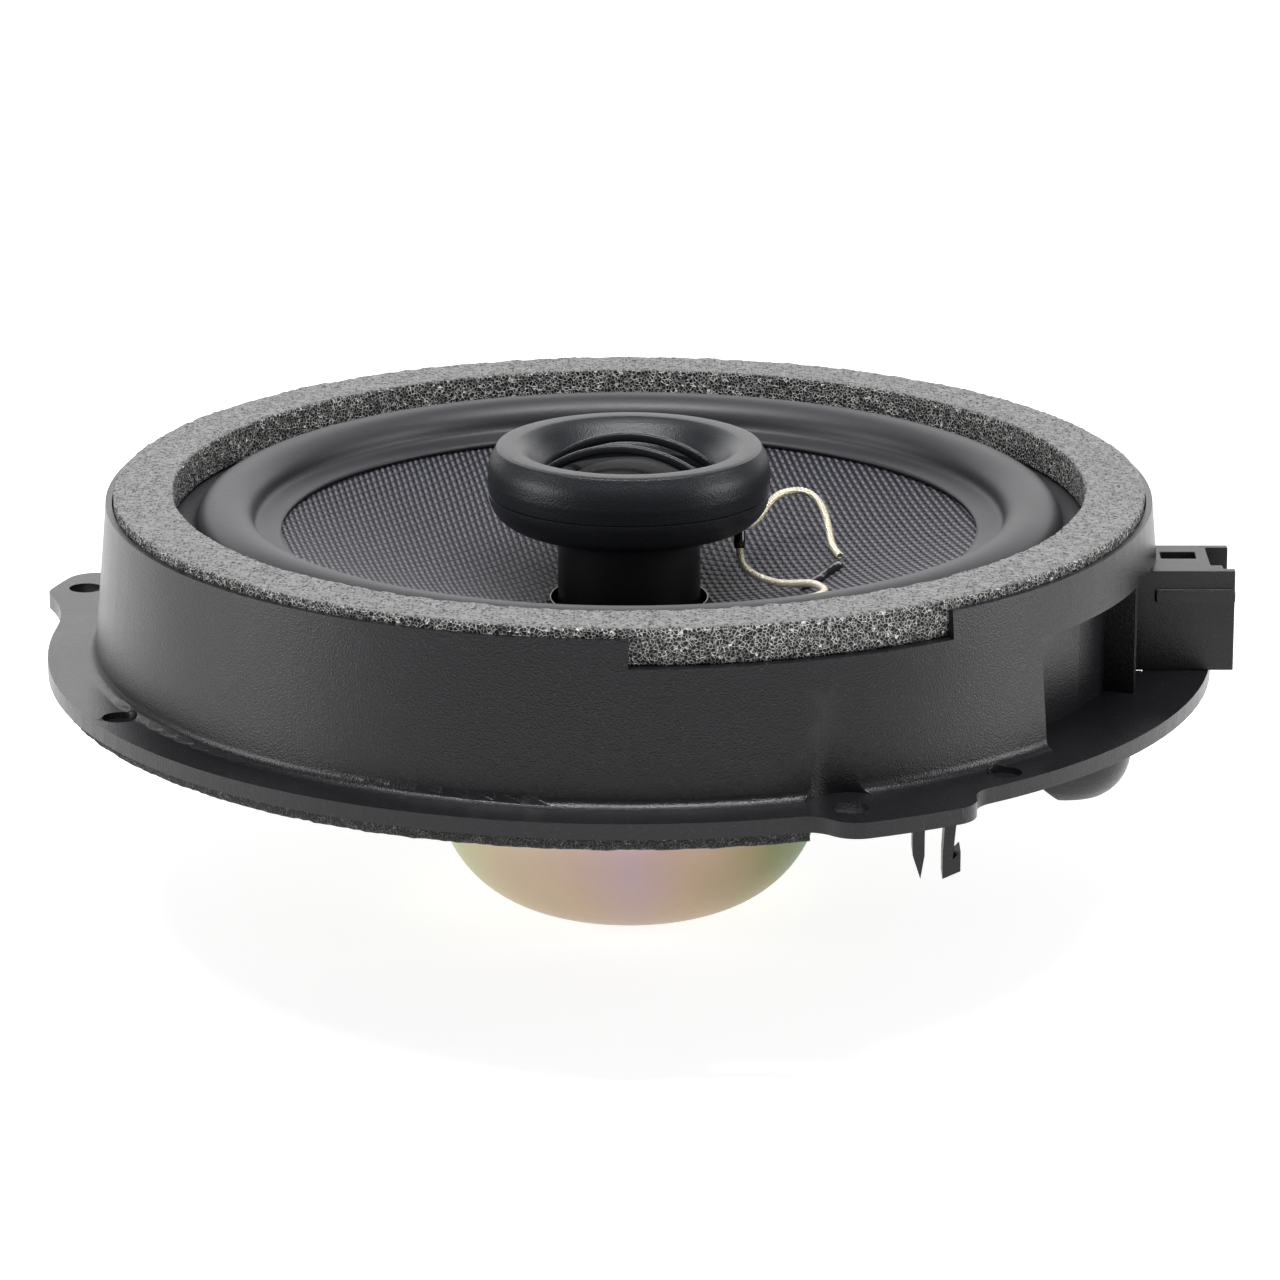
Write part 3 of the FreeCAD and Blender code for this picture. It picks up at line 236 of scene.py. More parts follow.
# %% Moulded grain: a fine even roughness with a few bright specks
grain_group, grain, grain_in = shader_group(
    "moulded_grain", {"Cells per metre": 2600.0, "Speck share": 0.3},
    ["Height", "Speck", "Cloud"])
grain_place = grain.place()
grain_cells = grain.add("ShaderNodeTexVoronoi", {
    "Vector": grain_place, "Scale": grain_in["Cells per metre"]})
grain_fine = grain.noise(grain_place, grain.scaled(grain_in["Cells per metre"], 0.7))
grain_tone = grain.add("ShaderNodeSeparateColor", {0: grain_cells.outputs["Color"]})
grain.add("NodeGroupOutput", {
    "Height": grain.maths("ADD", grain_cells.outputs["Distance"], grain_fine),
    "Speck": grain.maths("LESS_THAN", grain_tone, grain_in["Speck share"]),
    "Cloud": grain.noise(grain_place, 45.0, 3.0)})

# %% Woven yarns: two sets of threads that pass over and under each other
weave_group, weave, weave_in = shader_group(
    "woven_yarns", {"Pitch": 0.00105, "Turn": 0.0, "Rib share": 0.65}, ["Height", "Fuzz"])
weave_place = weave.place()
weave_turn = weave.add("ShaderNodeVectorRotate", {
    "Vector": weave_place, "Angle": weave_in["Turn"]}, rotation_type="Z_AXIS")
weave_sway = weave.scaled(weave.noise(weave_place, 60.0), 0.0004)
weave_axes = weave.add("ShaderNodeSeparateXYZ", {0: weave_turn})


def yarn_wave(axis):
    """The count of yarns along this axis, and a rounded crest for each of them."""
    place = weave.maths("ADD", weave_axes.outputs[axis], weave_sway)
    turns = weave.maths("DIVIDE", place, weave_in["Pitch"])
    return turns, weave.maths("ABSOLUTE", weave.maths("SINE", weave.scaled(turns, math.pi)))


warp_turns, warp_crest = yarn_wave("X")
weft_turns, weft_crest = yarn_wave("Y")
weave_parity = weave.maths("ABSOLUTE", weave.maths("MODULO", weave.maths(
    "ADD", weave.maths("FLOOR", warp_turns), weave.maths("FLOOR", weft_turns)), 2.0))
weft_over = weave.maths("MULTIPLY", weft_crest, weave_parity)
warp_dip = weave.maths("SUBTRACT", 1.0, weave.maths(
    "MULTIPLY", weft_over, weave.maths("SUBTRACT", 1.0, weave_in["Rib share"])))
weft_lift = weave.maths("MULTIPLY", weave.scaled(weft_over, 0.8),
                        weave.maths("SUBTRACT", 1.0, warp_crest))
weave.add("NodeGroupOutput", {
    "Height": weave.maths("MAXIMUM", weave.maths("MULTIPLY", warp_crest, warp_dip), weft_lift),
    "Fuzz": weave.noise(weave_place, 2500.0)})

# %% Foam cells: thin bright struts around dark pores
cells_group, cells, cells_in = shader_group(
    "foam_cells", {"Cells per metre": 1250.0, "Strut": 0.12}, ["Strut", "Depth", "Glint"])
cells_place = cells.place()
cells_bent = cells.add("ShaderNodeVectorMath", {
    0: cells.noise(cells_place, 900.0).outputs["Color"], "Scale": 0.0005}, operation="SCALE")
cells_spots = {"Vector": cells.add("ShaderNodeVectorMath", {0: cells_place, 1: cells_bent}),
               "Scale": cells_in["Cells per metre"]}
cells_edge = cells.add("ShaderNodeTexVoronoi", cells_spots, feature="DISTANCE_TO_EDGE")
cells_core = cells.add("ShaderNodeTexVoronoi", cells_spots).outputs
cells_strut = cells.add("ShaderNodeMapRange", {
    0: cells_edge.outputs["Distance"], 1: 0.0, 2: cells_in["Strut"], 3: 1.0, 4: 0.0},
    interpolation_type="SMOOTHSTEP")
cells.add("NodeGroupOutput", {
    "Strut": cells_strut,
    "Depth": cells_core["Distance"],
    "Glint": cells.add("ShaderNodeSeparateColor", {0: cells_core["Color"]})})

# %% [markdown]
# ## Finishes
# Each finish is a short function's worth of nodes around one Principled shader. Numbers that
# are the same all over a surface sit on the shader's own sockets.


# %% Plastics, rubber and cloth
def finish(name, **sockets):
    """The node tree of a new material, with some of its shader's sockets set."""
    paint = bpy.data.materials.new(name)
    paint.use_nodes = True
    tree = Tree(paint.node_tree)
    tree.paint = paint
    tree.shader = paint.node_tree.nodes["Principled BSDF"].inputs
    for key, value in sockets.items():
        tree.shader[key.replace("_", " ")].default_value = value
    return tree


def use_group(tree, group, **values):
    node = tree.add("ShaderNodeGroup", node_tree=group)
    for key, value in values.items():
        tree.feed(node.inputs[key.replace("_", " ")], value)
    return node.outputs


def coat(tree, colour, roughness, height, depth):
    """Joins a finish's colour, roughness and bumps to its shader, and gives the material."""
    normal = tree.add("ShaderNodeBump", {"Height": height, "Distance": depth, "Strength": 1.0})
    for key, value in (("Base Color", colour), ("Roughness", roughness), ("Normal", normal)):
        tree.feed(tree.shader[key], value)
    return tree.paint


# Painted glint: the colour of the lighter specks that stand in for light caught by the grain.
PAINTED_GLINT = (0.016, 0.016, 0.018)


def moulded(name, dark, light, roughness, grain_depth, speck_share=0.03):
    """Black injection-moulded plastic: near black, with a fine grain and a few lighter specks
    painted in as glints.
    """
    tree = finish(name, Specular_IOR_Level=0.33)
    texture = use_group(tree, grain_group, Cells_per_metre=3600.0, Speck_share=speck_share)
    tone = tree.mix(texture["Speck"], tree.mix(texture["Cloud"], dark, light), PAINTED_GLINT)
    return coat(tree, tone, tree.scaled(texture["Cloud"], 0.10, roughness - 0.05),
                texture["Height"], grain_depth)


basket_plastic = moulded("basket_plastic", (0.005, 0.005, 0.006), (0.009, 0.009, 0.011),
                         0.30, 0.000035)
connector_plastic = moulded("connector_plastic", (0.006, 0.006, 0.007), (0.010, 0.010, 0.012),
                            0.38, 0.00002, speck_share=0.02)
tweeter_plastic = moulded("tweeter_plastic", (0.008, 0.009, 0.011), (0.012, 0.013, 0.016),
                          0.36, 0.00003, speck_share=0.04)
post_plastic = moulded("post_plastic", (0.005, 0.005, 0.006), (0.008, 0.008, 0.009),
                       0.36, 0.00001, speck_share=0.0)


def rubber_finish():
    """Butyl rubber: satin, a little grey with bloom, and faintly uneven."""
    tree = finish("surround_rubber")
    texture = use_group(tree, grain_group, Cells_per_metre=1800.0, Speck_share=0.03)
    tone = tree.mix(texture["Cloud"], (0.015, 0.015, 0.018), (0.024, 0.024, 0.028))
    return coat(tree, tone, tree.scaled(texture["Cloud"], 0.12, 0.42), texture["Height"],
                0.000015)


def cloth_finish(name, yarn, gap, pitch, turn, rib_share, roughness, depth):
    """Coated woven cloth: its own colour, with painted light on the yarn crests and painted shade
    in the gaps.
    """
    tree = finish(name, Specular_IOR_Level=0.3)
    texture = use_group(tree, weave_group, Pitch=pitch, Turn=math.radians(turn),
                        Rib_share=rib_share)
    # Painted light and shade: the crests get the lighter yarn colour, the gaps the darker gap
    # colour.
    lit = tree.maths("POWER", texture["Height"], 2.2)
    tone = tree.mix(tree.scaled(texture["Fuzz"], 0.5), tree.mix(lit, gap, yarn), gap)
    height = tree.maths("ADD", texture["Height"], tree.scaled(texture["Fuzz"], 0.2))
    return coat(tree, tone, tree.scaled(texture["Fuzz"], -0.25, roughness), height, depth)


CLOTH_TURN = -11.0
surround_rubber = rubber_finish()
cone_cloth = cloth_finish("cone_cloth", (0.15, 0.15, 0.18), (0.003, 0.003, 0.005),
                          0.00105, CLOTH_TURN, 0.55, 0.58, 0.0005)
spider_cloth = cloth_finish("spider_cloth", (0.50, 0.33, 0.13), (0.20, 0.11, 0.035),
                            0.0006, 0.0, 0.5, 0.8, 0.0001)
dome_silk = cloth_finish("dome_silk", (0.012, 0.012, 0.013), (0.006, 0.006, 0.007),
                         0.0003, 20.0, 0.5, 0.85, 0.00003)


# %% Foams
def skinned_foam():
    """The front gasket: a pale heat-skinned face with pin holes, and open cells at the sides."""
    tree = finish("front_foam")
    skin = tree.add("ShaderNodeAttribute", attribute_name="skin").outputs["Fac"]
    open_cells = use_group(tree, cells_group, Cells_per_metre=1750.0, Strut=0.17)
    fine = use_group(tree, cells_group, Cells_per_metre=1900.0, Strut=0.3)
    glint = tree.maths("GREATER_THAN", open_cells["Glint"], 0.55)
    strut = tree.maths("MULTIPLY", open_cells["Strut"], tree.scaled(glint, 0.65, 0.35))
    # Painted light and shade on the cut sides: near-black pores are painted shade, and the pale
    # struts, brightest where they glint, are painted highlights.
    side = tree.mix(strut, (0.002, 0.002, 0.002), (0.85, 0.85, 0.82))
    hole = tree.add("ShaderNodeMapRange", {0: fine["Depth"], 1: 0.18, 2: 0.50, 3: 0.0, 4: 1.0})
    closed = tree.maths("MAXIMUM", hole, tree.maths("GREATER_THAN", fine["Glint"], 0.62))
    top = tree.mix(closed, (0.010, 0.010, 0.010), (0.150, 0.150, 0.150))
    height = tree.add("ShaderNodeMix", {
        0: skin, 2: open_cells["Strut"], 3: tree.scaled(closed, 0.5)})
    return coat(tree, tree.mix(skin, side, top), tree.scaled(glint, -0.35, 0.85), height,
                0.0004)


def dark_foam():
    """The rear gasket: black foam with fine cells that catch a few lights."""
    tree = finish("rear_foam")
    texture = use_group(tree, cells_group, Cells_per_metre=1900.0, Strut=0.2)
    glint = tree.maths("GREATER_THAN", texture["Glint"], 0.7)
    lit = tree.maths("MULTIPLY", texture["Strut"], tree.scaled(glint, 0.7, 0.3))
    tone = tree.mix(lit, (0.006, 0.006, 0.006), (0.13, 0.125, 0.12))
    return coat(tree, tone, 0.8, texture["Strut"], 0.0003)


# %% Metals and small finishes
BAND_SWAY = 0.35


def zinc_finish():
    """Yellow-passivated zinc: bands of straw, rose and green drift over a satin metal."""
    tree = finish("yellow_zinc", Metallic=1.0)
    place = tree.place()
    axes = tree.add("ShaderNodeSeparateXYZ", {0: place}).outputs
    drift = tree.noise(place, 38.0)
    across = tree.add("ShaderNodeMapRange", {0: axes["X"], 1: -0.031, 2: 0.031})
    swayed = tree.maths("ADD", across, tree.scaled(drift, BAND_SWAY, -BAND_SWAY / 2),
                        clamp=True)
    bands = tree.ramp(swayed, [
        (0.00, (0.50, 0.52, 0.30)), (0.16, (0.54, 0.45, 0.31)), (0.34, (0.51, 0.38, 0.31)),
        (0.52, (0.47, 0.35, 0.37)), (0.70, (0.46, 0.34, 0.25)), (0.88, (0.28, 0.25, 0.13)),
        (1.00, (0.13, 0.21, 0.09))])
    height = tree.add("ShaderNodeMapRange", {0: axes["Z"], 1: 0.002, 2: 0.022})
    low = tree.maths("SUBTRACT", 0.65, tree.maths("ADD", height, tree.scaled(drift, 0.3)),
                     clamp=True)
    fine = tree.noise(place, 1400.0, 3.0)
    return coat(tree, tree.mix(low, bands, (0.44, 0.36, 0.20)), tree.scaled(fine, 0.14, 0.34),
                fine, 0.00001)


def brushed(name, low, high, roughness, metallic=1.0, scale=700.0, depth=0.00001):
    """A plain solid finish with fine uneven tone, for metals, magnets and films."""
    tree = finish(name, Metallic=metallic)
    fine = tree.noise(tree.place(), scale, 4.0)
    return coat(tree, tree.mix(fine, low, high), tree.scaled(fine, 0.16, roughness - 0.08),
                fine, depth)


PLAIN_FINISHES = {
    "plain_steel": ((0.42, 0.42, 0.43), (0.60, 0.60, 0.61), 0.35),
    "ferrite": ((0.035, 0.035, 0.038), (0.06, 0.06, 0.063), 0.6, 0.2, 1500.0, 0.00004),
    "neodymium": ((0.55, 0.54, 0.52), (0.68, 0.67, 0.65), 0.2),
    "kapton": ((0.05, 0.022, 0.006), (0.09, 0.04, 0.010), 0.25, 0.0),
    "copper": ((0.55, 0.22, 0.10), (0.75, 0.36, 0.18), 0.3),
    "terminal_tin": ((0.60, 0.58, 0.53), (0.74, 0.72, 0.66), 0.3),
    "tinsel": ((0.50, 0.43, 0.28), (0.95, 0.92, 0.80), 0.34, 0.55, 2600.0),
    "sleeve": ((0.004, 0.004, 0.004), (0.008, 0.008, 0.008), 0.15, 0.0),
    "glue": ((0.004, 0.004, 0.005), (0.010, 0.010, 0.012), 0.14, 0.0, 300.0, 0.00005),
    "capacitor_film": ((0.02, 0.03, 0.06), (0.04, 0.05, 0.09), 0.3, 0.0),
}
FINISHES = {name: brushed(name, *look) for name, look in PLAIN_FINISHES.items()}
FINISHES.update({
    "basket_abs": basket_plastic,
    "connector_abs": connector_plastic,
    "gasket_foam": skinned_foam(),
    "seal_foam": dark_foam(),
    "surround_rubber": surround_rubber,
    "cone_cloth": cone_cloth,
    "spider_cloth": spider_cloth,
    "tweeter_plastic": tweeter_plastic,
    "dome_silk": dome_silk,
    "zinc_steel": zinc_finish(),
})

NODE_SLOT = {part["node"]: part["material_slot"] for part in frame["record"]["subparts"]}
for node_name, node_object in NODES.items():
    node_object.data.materials.clear()
    node_object.data.materials.append(FINISHES[NODE_SLOT[node_name]])
print("finishes:", len(FINISHES))

# %% [markdown]
# ## Helpers for round pieces
# Most of a speaker is turned about one axis. A profile of (radius, height) points in
# millimetres is swept round the axis as a closed skin.


# %% Lathe
def settle(piece, body, slot_name, *replaced, paint=None):
    """Gives a piece its finish, the body it rides on, and the nodes it stands for."""
    piece.data.materials.clear()
    piece.data.materials.append(paint or FINISHES[slot_name])
    if body:
        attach(piece, body)
    if replaced:
        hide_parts(*replaced)
    return piece


def point_outwards(mesh, merge=1e-7):
    """Merges doubles and turns every face outwards."""
    work = bmesh.new()
    work.from_mesh(mesh)
    bmesh.ops.remove_doubles(work, verts=work.verts, dist=merge)
    bmesh.ops.recalc_face_normals(work, faces=work.faces)
    work.to_mesh(mesh)
    work.free()


def ring_skin(name, tubes, merge=1e-7, closed=True):
    """One piece from tubes, each a row of equal rings of points with its ends closed or not."""
    vertices, faces = [], []
    for rings in tubes:
        first, around = len(vertices), len(rings[0])
        vertices += [point for ring in rings for point in ring]
        for low in range(first, len(vertices) - around, around):
            faces += [(low + k, low + (k + 1) % around, low + around + (k + 1) % around,
                       low + around + k) for k in range(around)]
        if closed:
            last = len(vertices) - around
            faces += [tuple(range(first, first + around)), tuple(range(last, last + around))]
    piece = mesh_object(name, vertices, faces)
    point_outwards(piece.data, merge)
    return piece


def lathe(name, profile, around=256, start=0.0, sweep=360.0):
    """Turns a closed (radius, height) profile in millimetres about the speaker's axis."""
    full = sweep >= 360.0
    angles = np.radians(start + sweep * np.arange(around + 1) / around)
    if full:
        angles[-1] = angles[0]
    radius, height = np.array(profile, float).T * MM
    rings = [np.stack([radius * math.cos(a), radius * math.sin(a), height], -1) for a in angles]
    return ring_skin(name, [rings], closed=not full)


def arc(centre, radius, first, last, steps):
    """Points on a circle arc in the profile plane, angles in degrees."""
    turns = np.radians(np.linspace(first, last, steps))
    return [(centre[0] + radius * math.cos(t), centre[1] + radius * math.sin(t)) for t in turns]


def box_section(low_r, high_r, low_z, high_z, rounding, steps=5):
    """A rectangle with rounded corners as a profile."""
    corners = (((high_r - rounding, low_z + rounding), -90), ((high_r - rounding,
               high_z - rounding), 0), ((low_r + rounding, high_z - rounding), 90),
               ((low_r + rounding, low_z + rounding), 180))
    points = []
    for centre, first in corners:
        points += arc(centre, rounding, first, first + 90, steps)
    return points


def spaced(profile, gap):
    """Adds points along a closed profile so that no step is longer than the gap."""
    result = []
    for here, there in zip(profile, profile[1:] + profile[:1]):
        length = math.dist(here, there)
        count = max(1, math.ceil(length / gap))
        for step in range(count):
            share = step / count
            result.append((here[0] + (there[0] - here[0]) * share,
                           here[1] + (there[1] - here[1]) * share))
    return result


def radii(node):
    """The outer radius, lowest and highest point of a round node, in millimetres."""
    low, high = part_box(node)
    return max(-low.x, high.x) / MM, low.z / MM, high.z / MM


def keep_sharp(piece, angle=32.0):
    """Smooth shading that stops at edges sharper than the angle."""
    piece.data.polygons.foreach_set("use_smooth", [True] * len(piece.data.polygons))
    piece.data.set_sharp_from_angle(angle=math.radians(angle))


# %% [markdown]
# ## Moulded pieces with softened edges
# The basket, connector and prongs have the right shape already, but a real moulding never has a
# knife edge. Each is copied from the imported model, its doubles are merged, and a narrow bevel
# is cut on every sharp edge so that it catches a thin line of light.


# %% Bevelled copies
def softened(node, body, width, slot_name, segments=2, limit=35.0):
    piece = link(bpy.data.objects.new(f"{node}_moulded", NODES[node].data.copy()))
    point_outwards(piece.data, merge=1e-5)
    keep_sharp(piece, limit)
    bevel = piece.modifiers.new("softened_edges", "BEVEL")
    bevel.width = width
    bevel.segments = segments
    bevel.limit_method = "ANGLE"
    bevel.angle_limit = math.radians(limit)
    bevel.use_clamp_overlap = True
    bevel.miter_outer = "MITER_ARC"
    weighted = piece.modifiers.new("even_shading", "WEIGHTED_NORMAL")
    weighted.keep_sharp = True
    graph = bpy.context.evaluated_depsgraph_get()
    done = bpy.data.meshes.new_from_object(piece.evaluated_get(graph))
    piece.modifiers.clear()
    piece.data = done
    return settle(piece, body, slot_name, node)


basket = softened("basket", FRAME_BODY, 0.00022, "basket_abs")
softened("connector_shell", FRAME_BODY, 0.00022, "connector_abs")
for side in ("left", "right"):
    softened(f"snap_prong_{side}", f"snap_{side}", 0.00012, "basket_abs")
for blade in ("terminal_blade_plus", "terminal_blade_minus"):
    softened(blade, FRAME_BODY, 0.0001, "terminal_tin")
print("basket faces:", len(basket.data.polygons))

# %% [markdown]
# ## Foam gaskets
# The front gasket is cut from a thick charcoal foam whose face is skinned and whose cut sides
# are open cells. Its edge is never quite true: the knife leaves it ragged. The ring is a dense
# turned skin whose points are moved a little by smooth noise, and an attribute named skin tells
# the finish which faces are the pale top.


# %% Front gasket
def ragged(piece, amount, scales, seed):
    """Moves every point along its normal by a few layers of smooth noise."""
    mesh = piece.data
    count = len(mesh.vertices)
    points = np.zeros(count * 3, np.float32)
    normals = np.zeros(count * 3, np.float32)
    mesh.vertices.foreach_get("co", points)
    mesh.vertices.foreach_get("normal", normals)
    points = points.reshape(-1, 3)
    normals = normals.reshape(-1, 3)
    rng = np.random.default_rng(seed)
    moved = np.zeros(count)
    for wave_length, share in scales:
        for _ in range(7):
            direction = rng.normal(size=3)
            direction /= np.linalg.norm(direction)
            phase = rng.uniform(0, 2 * math.pi)
            stretch = rng.uniform(0.75, 1.3)
            moved += share * np.sin(
                points @ (direction * 2 * math.pi / (wave_length * stretch)) + phase) / 7
    points += normals * (moved * amount)[:, None].astype(np.float32)
    mesh.vertices.foreach_set("co", points.ravel())
    mesh.update()


foam_outer, foam_low, foam_high = radii("front_gasket")
FOAM_INNER = 72.8
FOAM_ROUNDING = 0.45
foam = lathe("front_gasket_foam", spaced(
    box_section(FOAM_INNER + 0.1, foam_outer - 0.12, foam_low, foam_high - 0.05,
                FOAM_ROUNDING), 0.62), around=800)
ragged(foam, 0.00016, ((0.0014, 1.2), (0.004, 0.8), (0.022, 0.5)), 4)
skin = foam.data.attributes.new("skin", "FLOAT", "POINT")
skin.data.foreach_set("value", [
    min(1.0, max(0.0, (v.co.z / MM - foam_high + 0.40) / 0.25)) for v in foam.data.vertices])
settle(foam, FRAME_BODY, "gasket_foam", "front_gasket")

# %% Rear gasket
rear_outer, rear_low, rear_high = radii("rear_gasket")
REAR_FOAM_START = 30.0
REAR_FOAM_SWEEP = 257.0
REAR_FOAM_WIDTH = 6.6
rear_strip = lathe("rear_gasket_foam", spaced(
    box_section(rear_outer - REAR_FOAM_WIDTH, rear_outer - 0.05, rear_low, rear_high - 0.02, 0.4),
    0.6), around=420, start=REAR_FOAM_START, sweep=REAR_FOAM_SWEEP)
ragged(rear_strip, 0.00016, ((0.0016, 1.0), (0.006, 0.8), (0.05, 0.8)), 9)
settle(rear_strip, FRAME_BODY, "seal_foam", "rear_gasket")
print("foam faces:", len(foam.data.polygons), len(rear_strip.data.polygons))

# %% [markdown]
# ## The rubber surround and the spider
# Both hold the moving cone to the fixed basket, and each is made as one skin.


# %% Shares by radius
def blend_round(piece, outer, inner):
    """Bakes a skin's place into its mesh and works out a smooth share between the two radii,
    which is not kept.
    """
    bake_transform(piece)
    radius = np.array([math.hypot(v.co.x, v.co.y) for v in piece.data.vertices]) / MM
    share = np.clip((outer - radius) / (outer - inner), 0, 1)
    share = share * share * (3 - 2 * share)


def unit(vectors):
    """The same directions with a length of one."""
    return vectors / np.linalg.norm(vectors, axis=1)[:, None]


def skin_profile(line, thick):
    """A closed profile: the line and the same line moved down by the thickness."""
    line = np.array(line, float)
    slope = unit(np.gradient(line, axis=0))
    below = line + np.stack([slope[:, 1], -slope[:, 0]], -1) * thick
    return [tuple(p) for p in [*line, *below[::-1]]]


# %% Surround
ROLL_INNER, ROLL_OUTER = 60.1, 69.4
RUBBER_THICK = 0.7
FLANGE_TOP, ROOT_TOP = 63.8, 63.9
roll_crest = radii("surround")[2] - 0.02
half_roll = (ROLL_OUTER - ROLL_INNER) / 2
roll_line = [
    (ROLL_INNER + half_roll * (1 + math.cos(t)),
     FLANGE_TOP + (ROOT_TOP - FLANGE_TOP) * (1 - math.cos(t)) / 2
     + (roll_crest - FLANGE_TOP) * math.sin(t) ** 0.82)
    for t in np.linspace(0.0, math.pi, 41)]
outer_land = [(r, FLANGE_TOP + rise) for r, rise in (
    (79.8, 0), (75.0, 0), (71.8, 0), (71.2, 0), (70.5, 0.02), (69.9, 0.25))]
inner_land = [(r, ROOT_TOP - drop) for r, drop in (
    (59.9, 0.28), (59.3, 0.55), (58.4, 0.70), (57.3, 0.82), (56.3, 0.97), (55.7, 1.12))]
surround_line = outer_land + roll_line[1:-1] + inner_land
surround = lathe("surround_skin", skin_profile(surround_line[::-1], RUBBER_THICK), around=288)
settle(surround, None, "surround_rubber", "surround")
blend_round(surround, ROLL_OUTER, ROLL_INNER)

# %% Spider, from a flat ring that a node tree folds into waves
def geometry_tree(name, inputs):
    """An empty node tree with named inputs, and one mesh in and one mesh out."""
    mesh = {"Mesh": (MESH, None)}
    return node_group(name, "GeometryNodeTree", {**mesh, **inputs}, mesh)


def finish_tree(helper, geometry, material_socket):
    """Every tree ends the same way: real meshes, with their material."""
    real = helper.add("GeometryNodeRealizeInstances", {0: geometry})
    helper.add("NodeGroupOutput", {0: helper.add("GeometryNodeSetMaterial", {
        "Geometry": real, "Material": material_socket})})


def axial(helper, value):
    """A vector along the speaker's axis, for a lift or a turn."""
    return helper.add("ShaderNodeCombineXYZ", {2: value})


def run_tree(name, tree, values, base=None):
    """Runs a tree on a base mesh and returns its result as a plain piece."""
    holder = base or mesh_object(f"{name}_base", [(0, 0, 0)], [])
    modifier = holder.modifiers.new(name, "NODES")
    modifier.node_group = tree
    for item in tree.interface.items_tree:
        if item.in_out == "INPUT" and item.name in values:
            modifier[item.identifier] = values[item.name]
    graph = bpy.context.evaluated_depsgraph_get()
    result = bpy.data.meshes.new_from_object(holder.evaluated_get(graph))
    bpy.data.objects.remove(holder)
    piece = link(bpy.data.objects.new(name, result))
    result.polygons.foreach_set("use_smooth", [True] * len(result.polygons))
    return piece


spider_tree, waves, waves_in = geometry_tree("corrugated_ring", {
    "Inner radius": (FLOAT, 0.013), "Outer radius": (FLOAT, 0.043),
    "Wave count": (FLOAT, 5.0), "Wave height": (FLOAT, 0.001), "Material": (MATERIAL, None)})
waves_axes = waves.add("ShaderNodeSeparateXYZ", {0: waves.add("GeometryNodeInputPosition")})
waves_squares = [waves.maths("MULTIPLY", axis, axis) for axis in waves_axes.outputs[:2]]
waves_radius = waves.maths("SQRT", waves.maths("ADD", *waves_squares))
waves_share = waves.maths("DIVIDE", *[
    waves.maths("SUBTRACT", radius, waves_in["Inner radius"])
    for radius in (waves_radius, waves_in["Outer radius"])])
waves_share = waves.maths("MINIMUM", waves.maths("MAXIMUM", waves_share, 0.0), 1.0)
waves_turn = waves.scaled(waves.maths("MULTIPLY", waves_share, waves_in["Wave count"]),
                          2 * math.pi)
waves_lift = waves.maths("MULTIPLY", waves.maths("SUBTRACT", 1.0, waves.maths(
    "COSINE", waves_turn)), waves.scaled(waves_in["Wave height"], 0.5))
waves_moved = waves.add("GeometryNodeSetPosition", {
    "Geometry": waves_in["Mesh"], "Offset": axial(waves, waves_lift)})
finish_tree(waves, waves_moved, waves_in["Material"])

SPIDER_INNER, SPIDER_FLAT, SPIDER_OUTER, SPIDER_THICK = 13.2, 43.2, 49.7, 0.45
spider_top = radii("spider")[1] + SPIDER_THICK
flat_ring = lathe("spider_blank", skin_profile(
    [(r, spider_top) for r in np.linspace(SPIDER_INNER, SPIDER_OUTER, 110)],
    SPIDER_THICK), around=160)
spider = run_tree("spider_folds", spider_tree, {
    "Inner radius": SPIDER_INNER * MM, "Outer radius": SPIDER_FLAT * MM, "Wave count": 5.0,
    "Wave height": 0.0010, "Material": spider_cloth}, base=flat_ring)
settle(spider, None, "spider_cloth", "spider")
blend_round(spider, SPIDER_FLAT, SPIDER_INNER)
print("surround and spider:", len(surround.data.polygons), len(spider.data.polygons))

# %% [markdown]
# ## The cone
# Coated glass cloth, pressed to a shallow curve. The weave isn't turned with the cone: the
# cloth was woven flat and then pressed, so its threads run straight when seen from the front.

# %% Cone
NECK_RADIUS, NECK_TOP = 12.8, 50.2
SLOPE_END, CLOTH_EDGE, CLOTH_TOP = 55.4, 59.2, 62.15


def cone_height(radius):
    """The height of the cloth's face at a radius."""
    share = (radius - NECK_RADIUS) / (SLOPE_END - NECK_RADIUS)
    return NECK_TOP + (CLOTH_TOP - NECK_TOP - 0.35) * share


cone_line = [(r, cone_height(r)) for r in np.linspace(NECK_RADIUS, SLOPE_END, 60)]
cone_line += [(57.0, CLOTH_TOP - 0.15), (CLOTH_EDGE, CLOTH_TOP)]
cone = lathe("cone_skin", skin_profile(cone_line, 0.6))
settle(cone, CONE_BODY, "cone_cloth", "cone")

# %% [markdown]
# ## Tweeter
# The head is two turned mouldings that meet at a fine parting line. The upper one is a bowl
# with a funnel in it, and two arched guard bars cross the funnel over a silk dome.

# %% Head
HEAD_RADIUS, HEAD_RIM, HEAD_TOP = 22.65, 21.2, 76.1
SEAM_RADIUS, SEAM_HEIGHT = 22.55, 68.6
FUNNEL_RADIUS, THROAT_RADIUS, THROAT_HEIGHT = 17.6, 13.2, 71.4
FOOT_RADIUS, FOOT_HEIGHT, BELLY_ROUNDING = 12.5, 62.5, 5.2


def curve_through(points, steps):
    """A smooth line through (radius, height) points."""
    data = np.array(points, float)
    ends = np.vstack([2 * data[0] - data[1], data, 2 * data[-1] - data[-2]])
    line = []
    for k in range(1, len(ends) - 2):
        before, here, there, after = ends[k - 1:k + 3]
        for t in np.linspace(0, 1, steps, endpoint=False):
            line.append(0.5 * (2 * here + (there - before) * t
                               + (2 * before - 5 * here + 4 * there - after) * t ** 2
                               + (3 * here - before - 3 * there + after) * t ** 3))
    line.append(data[-1])
    return [tuple(p) for p in line]


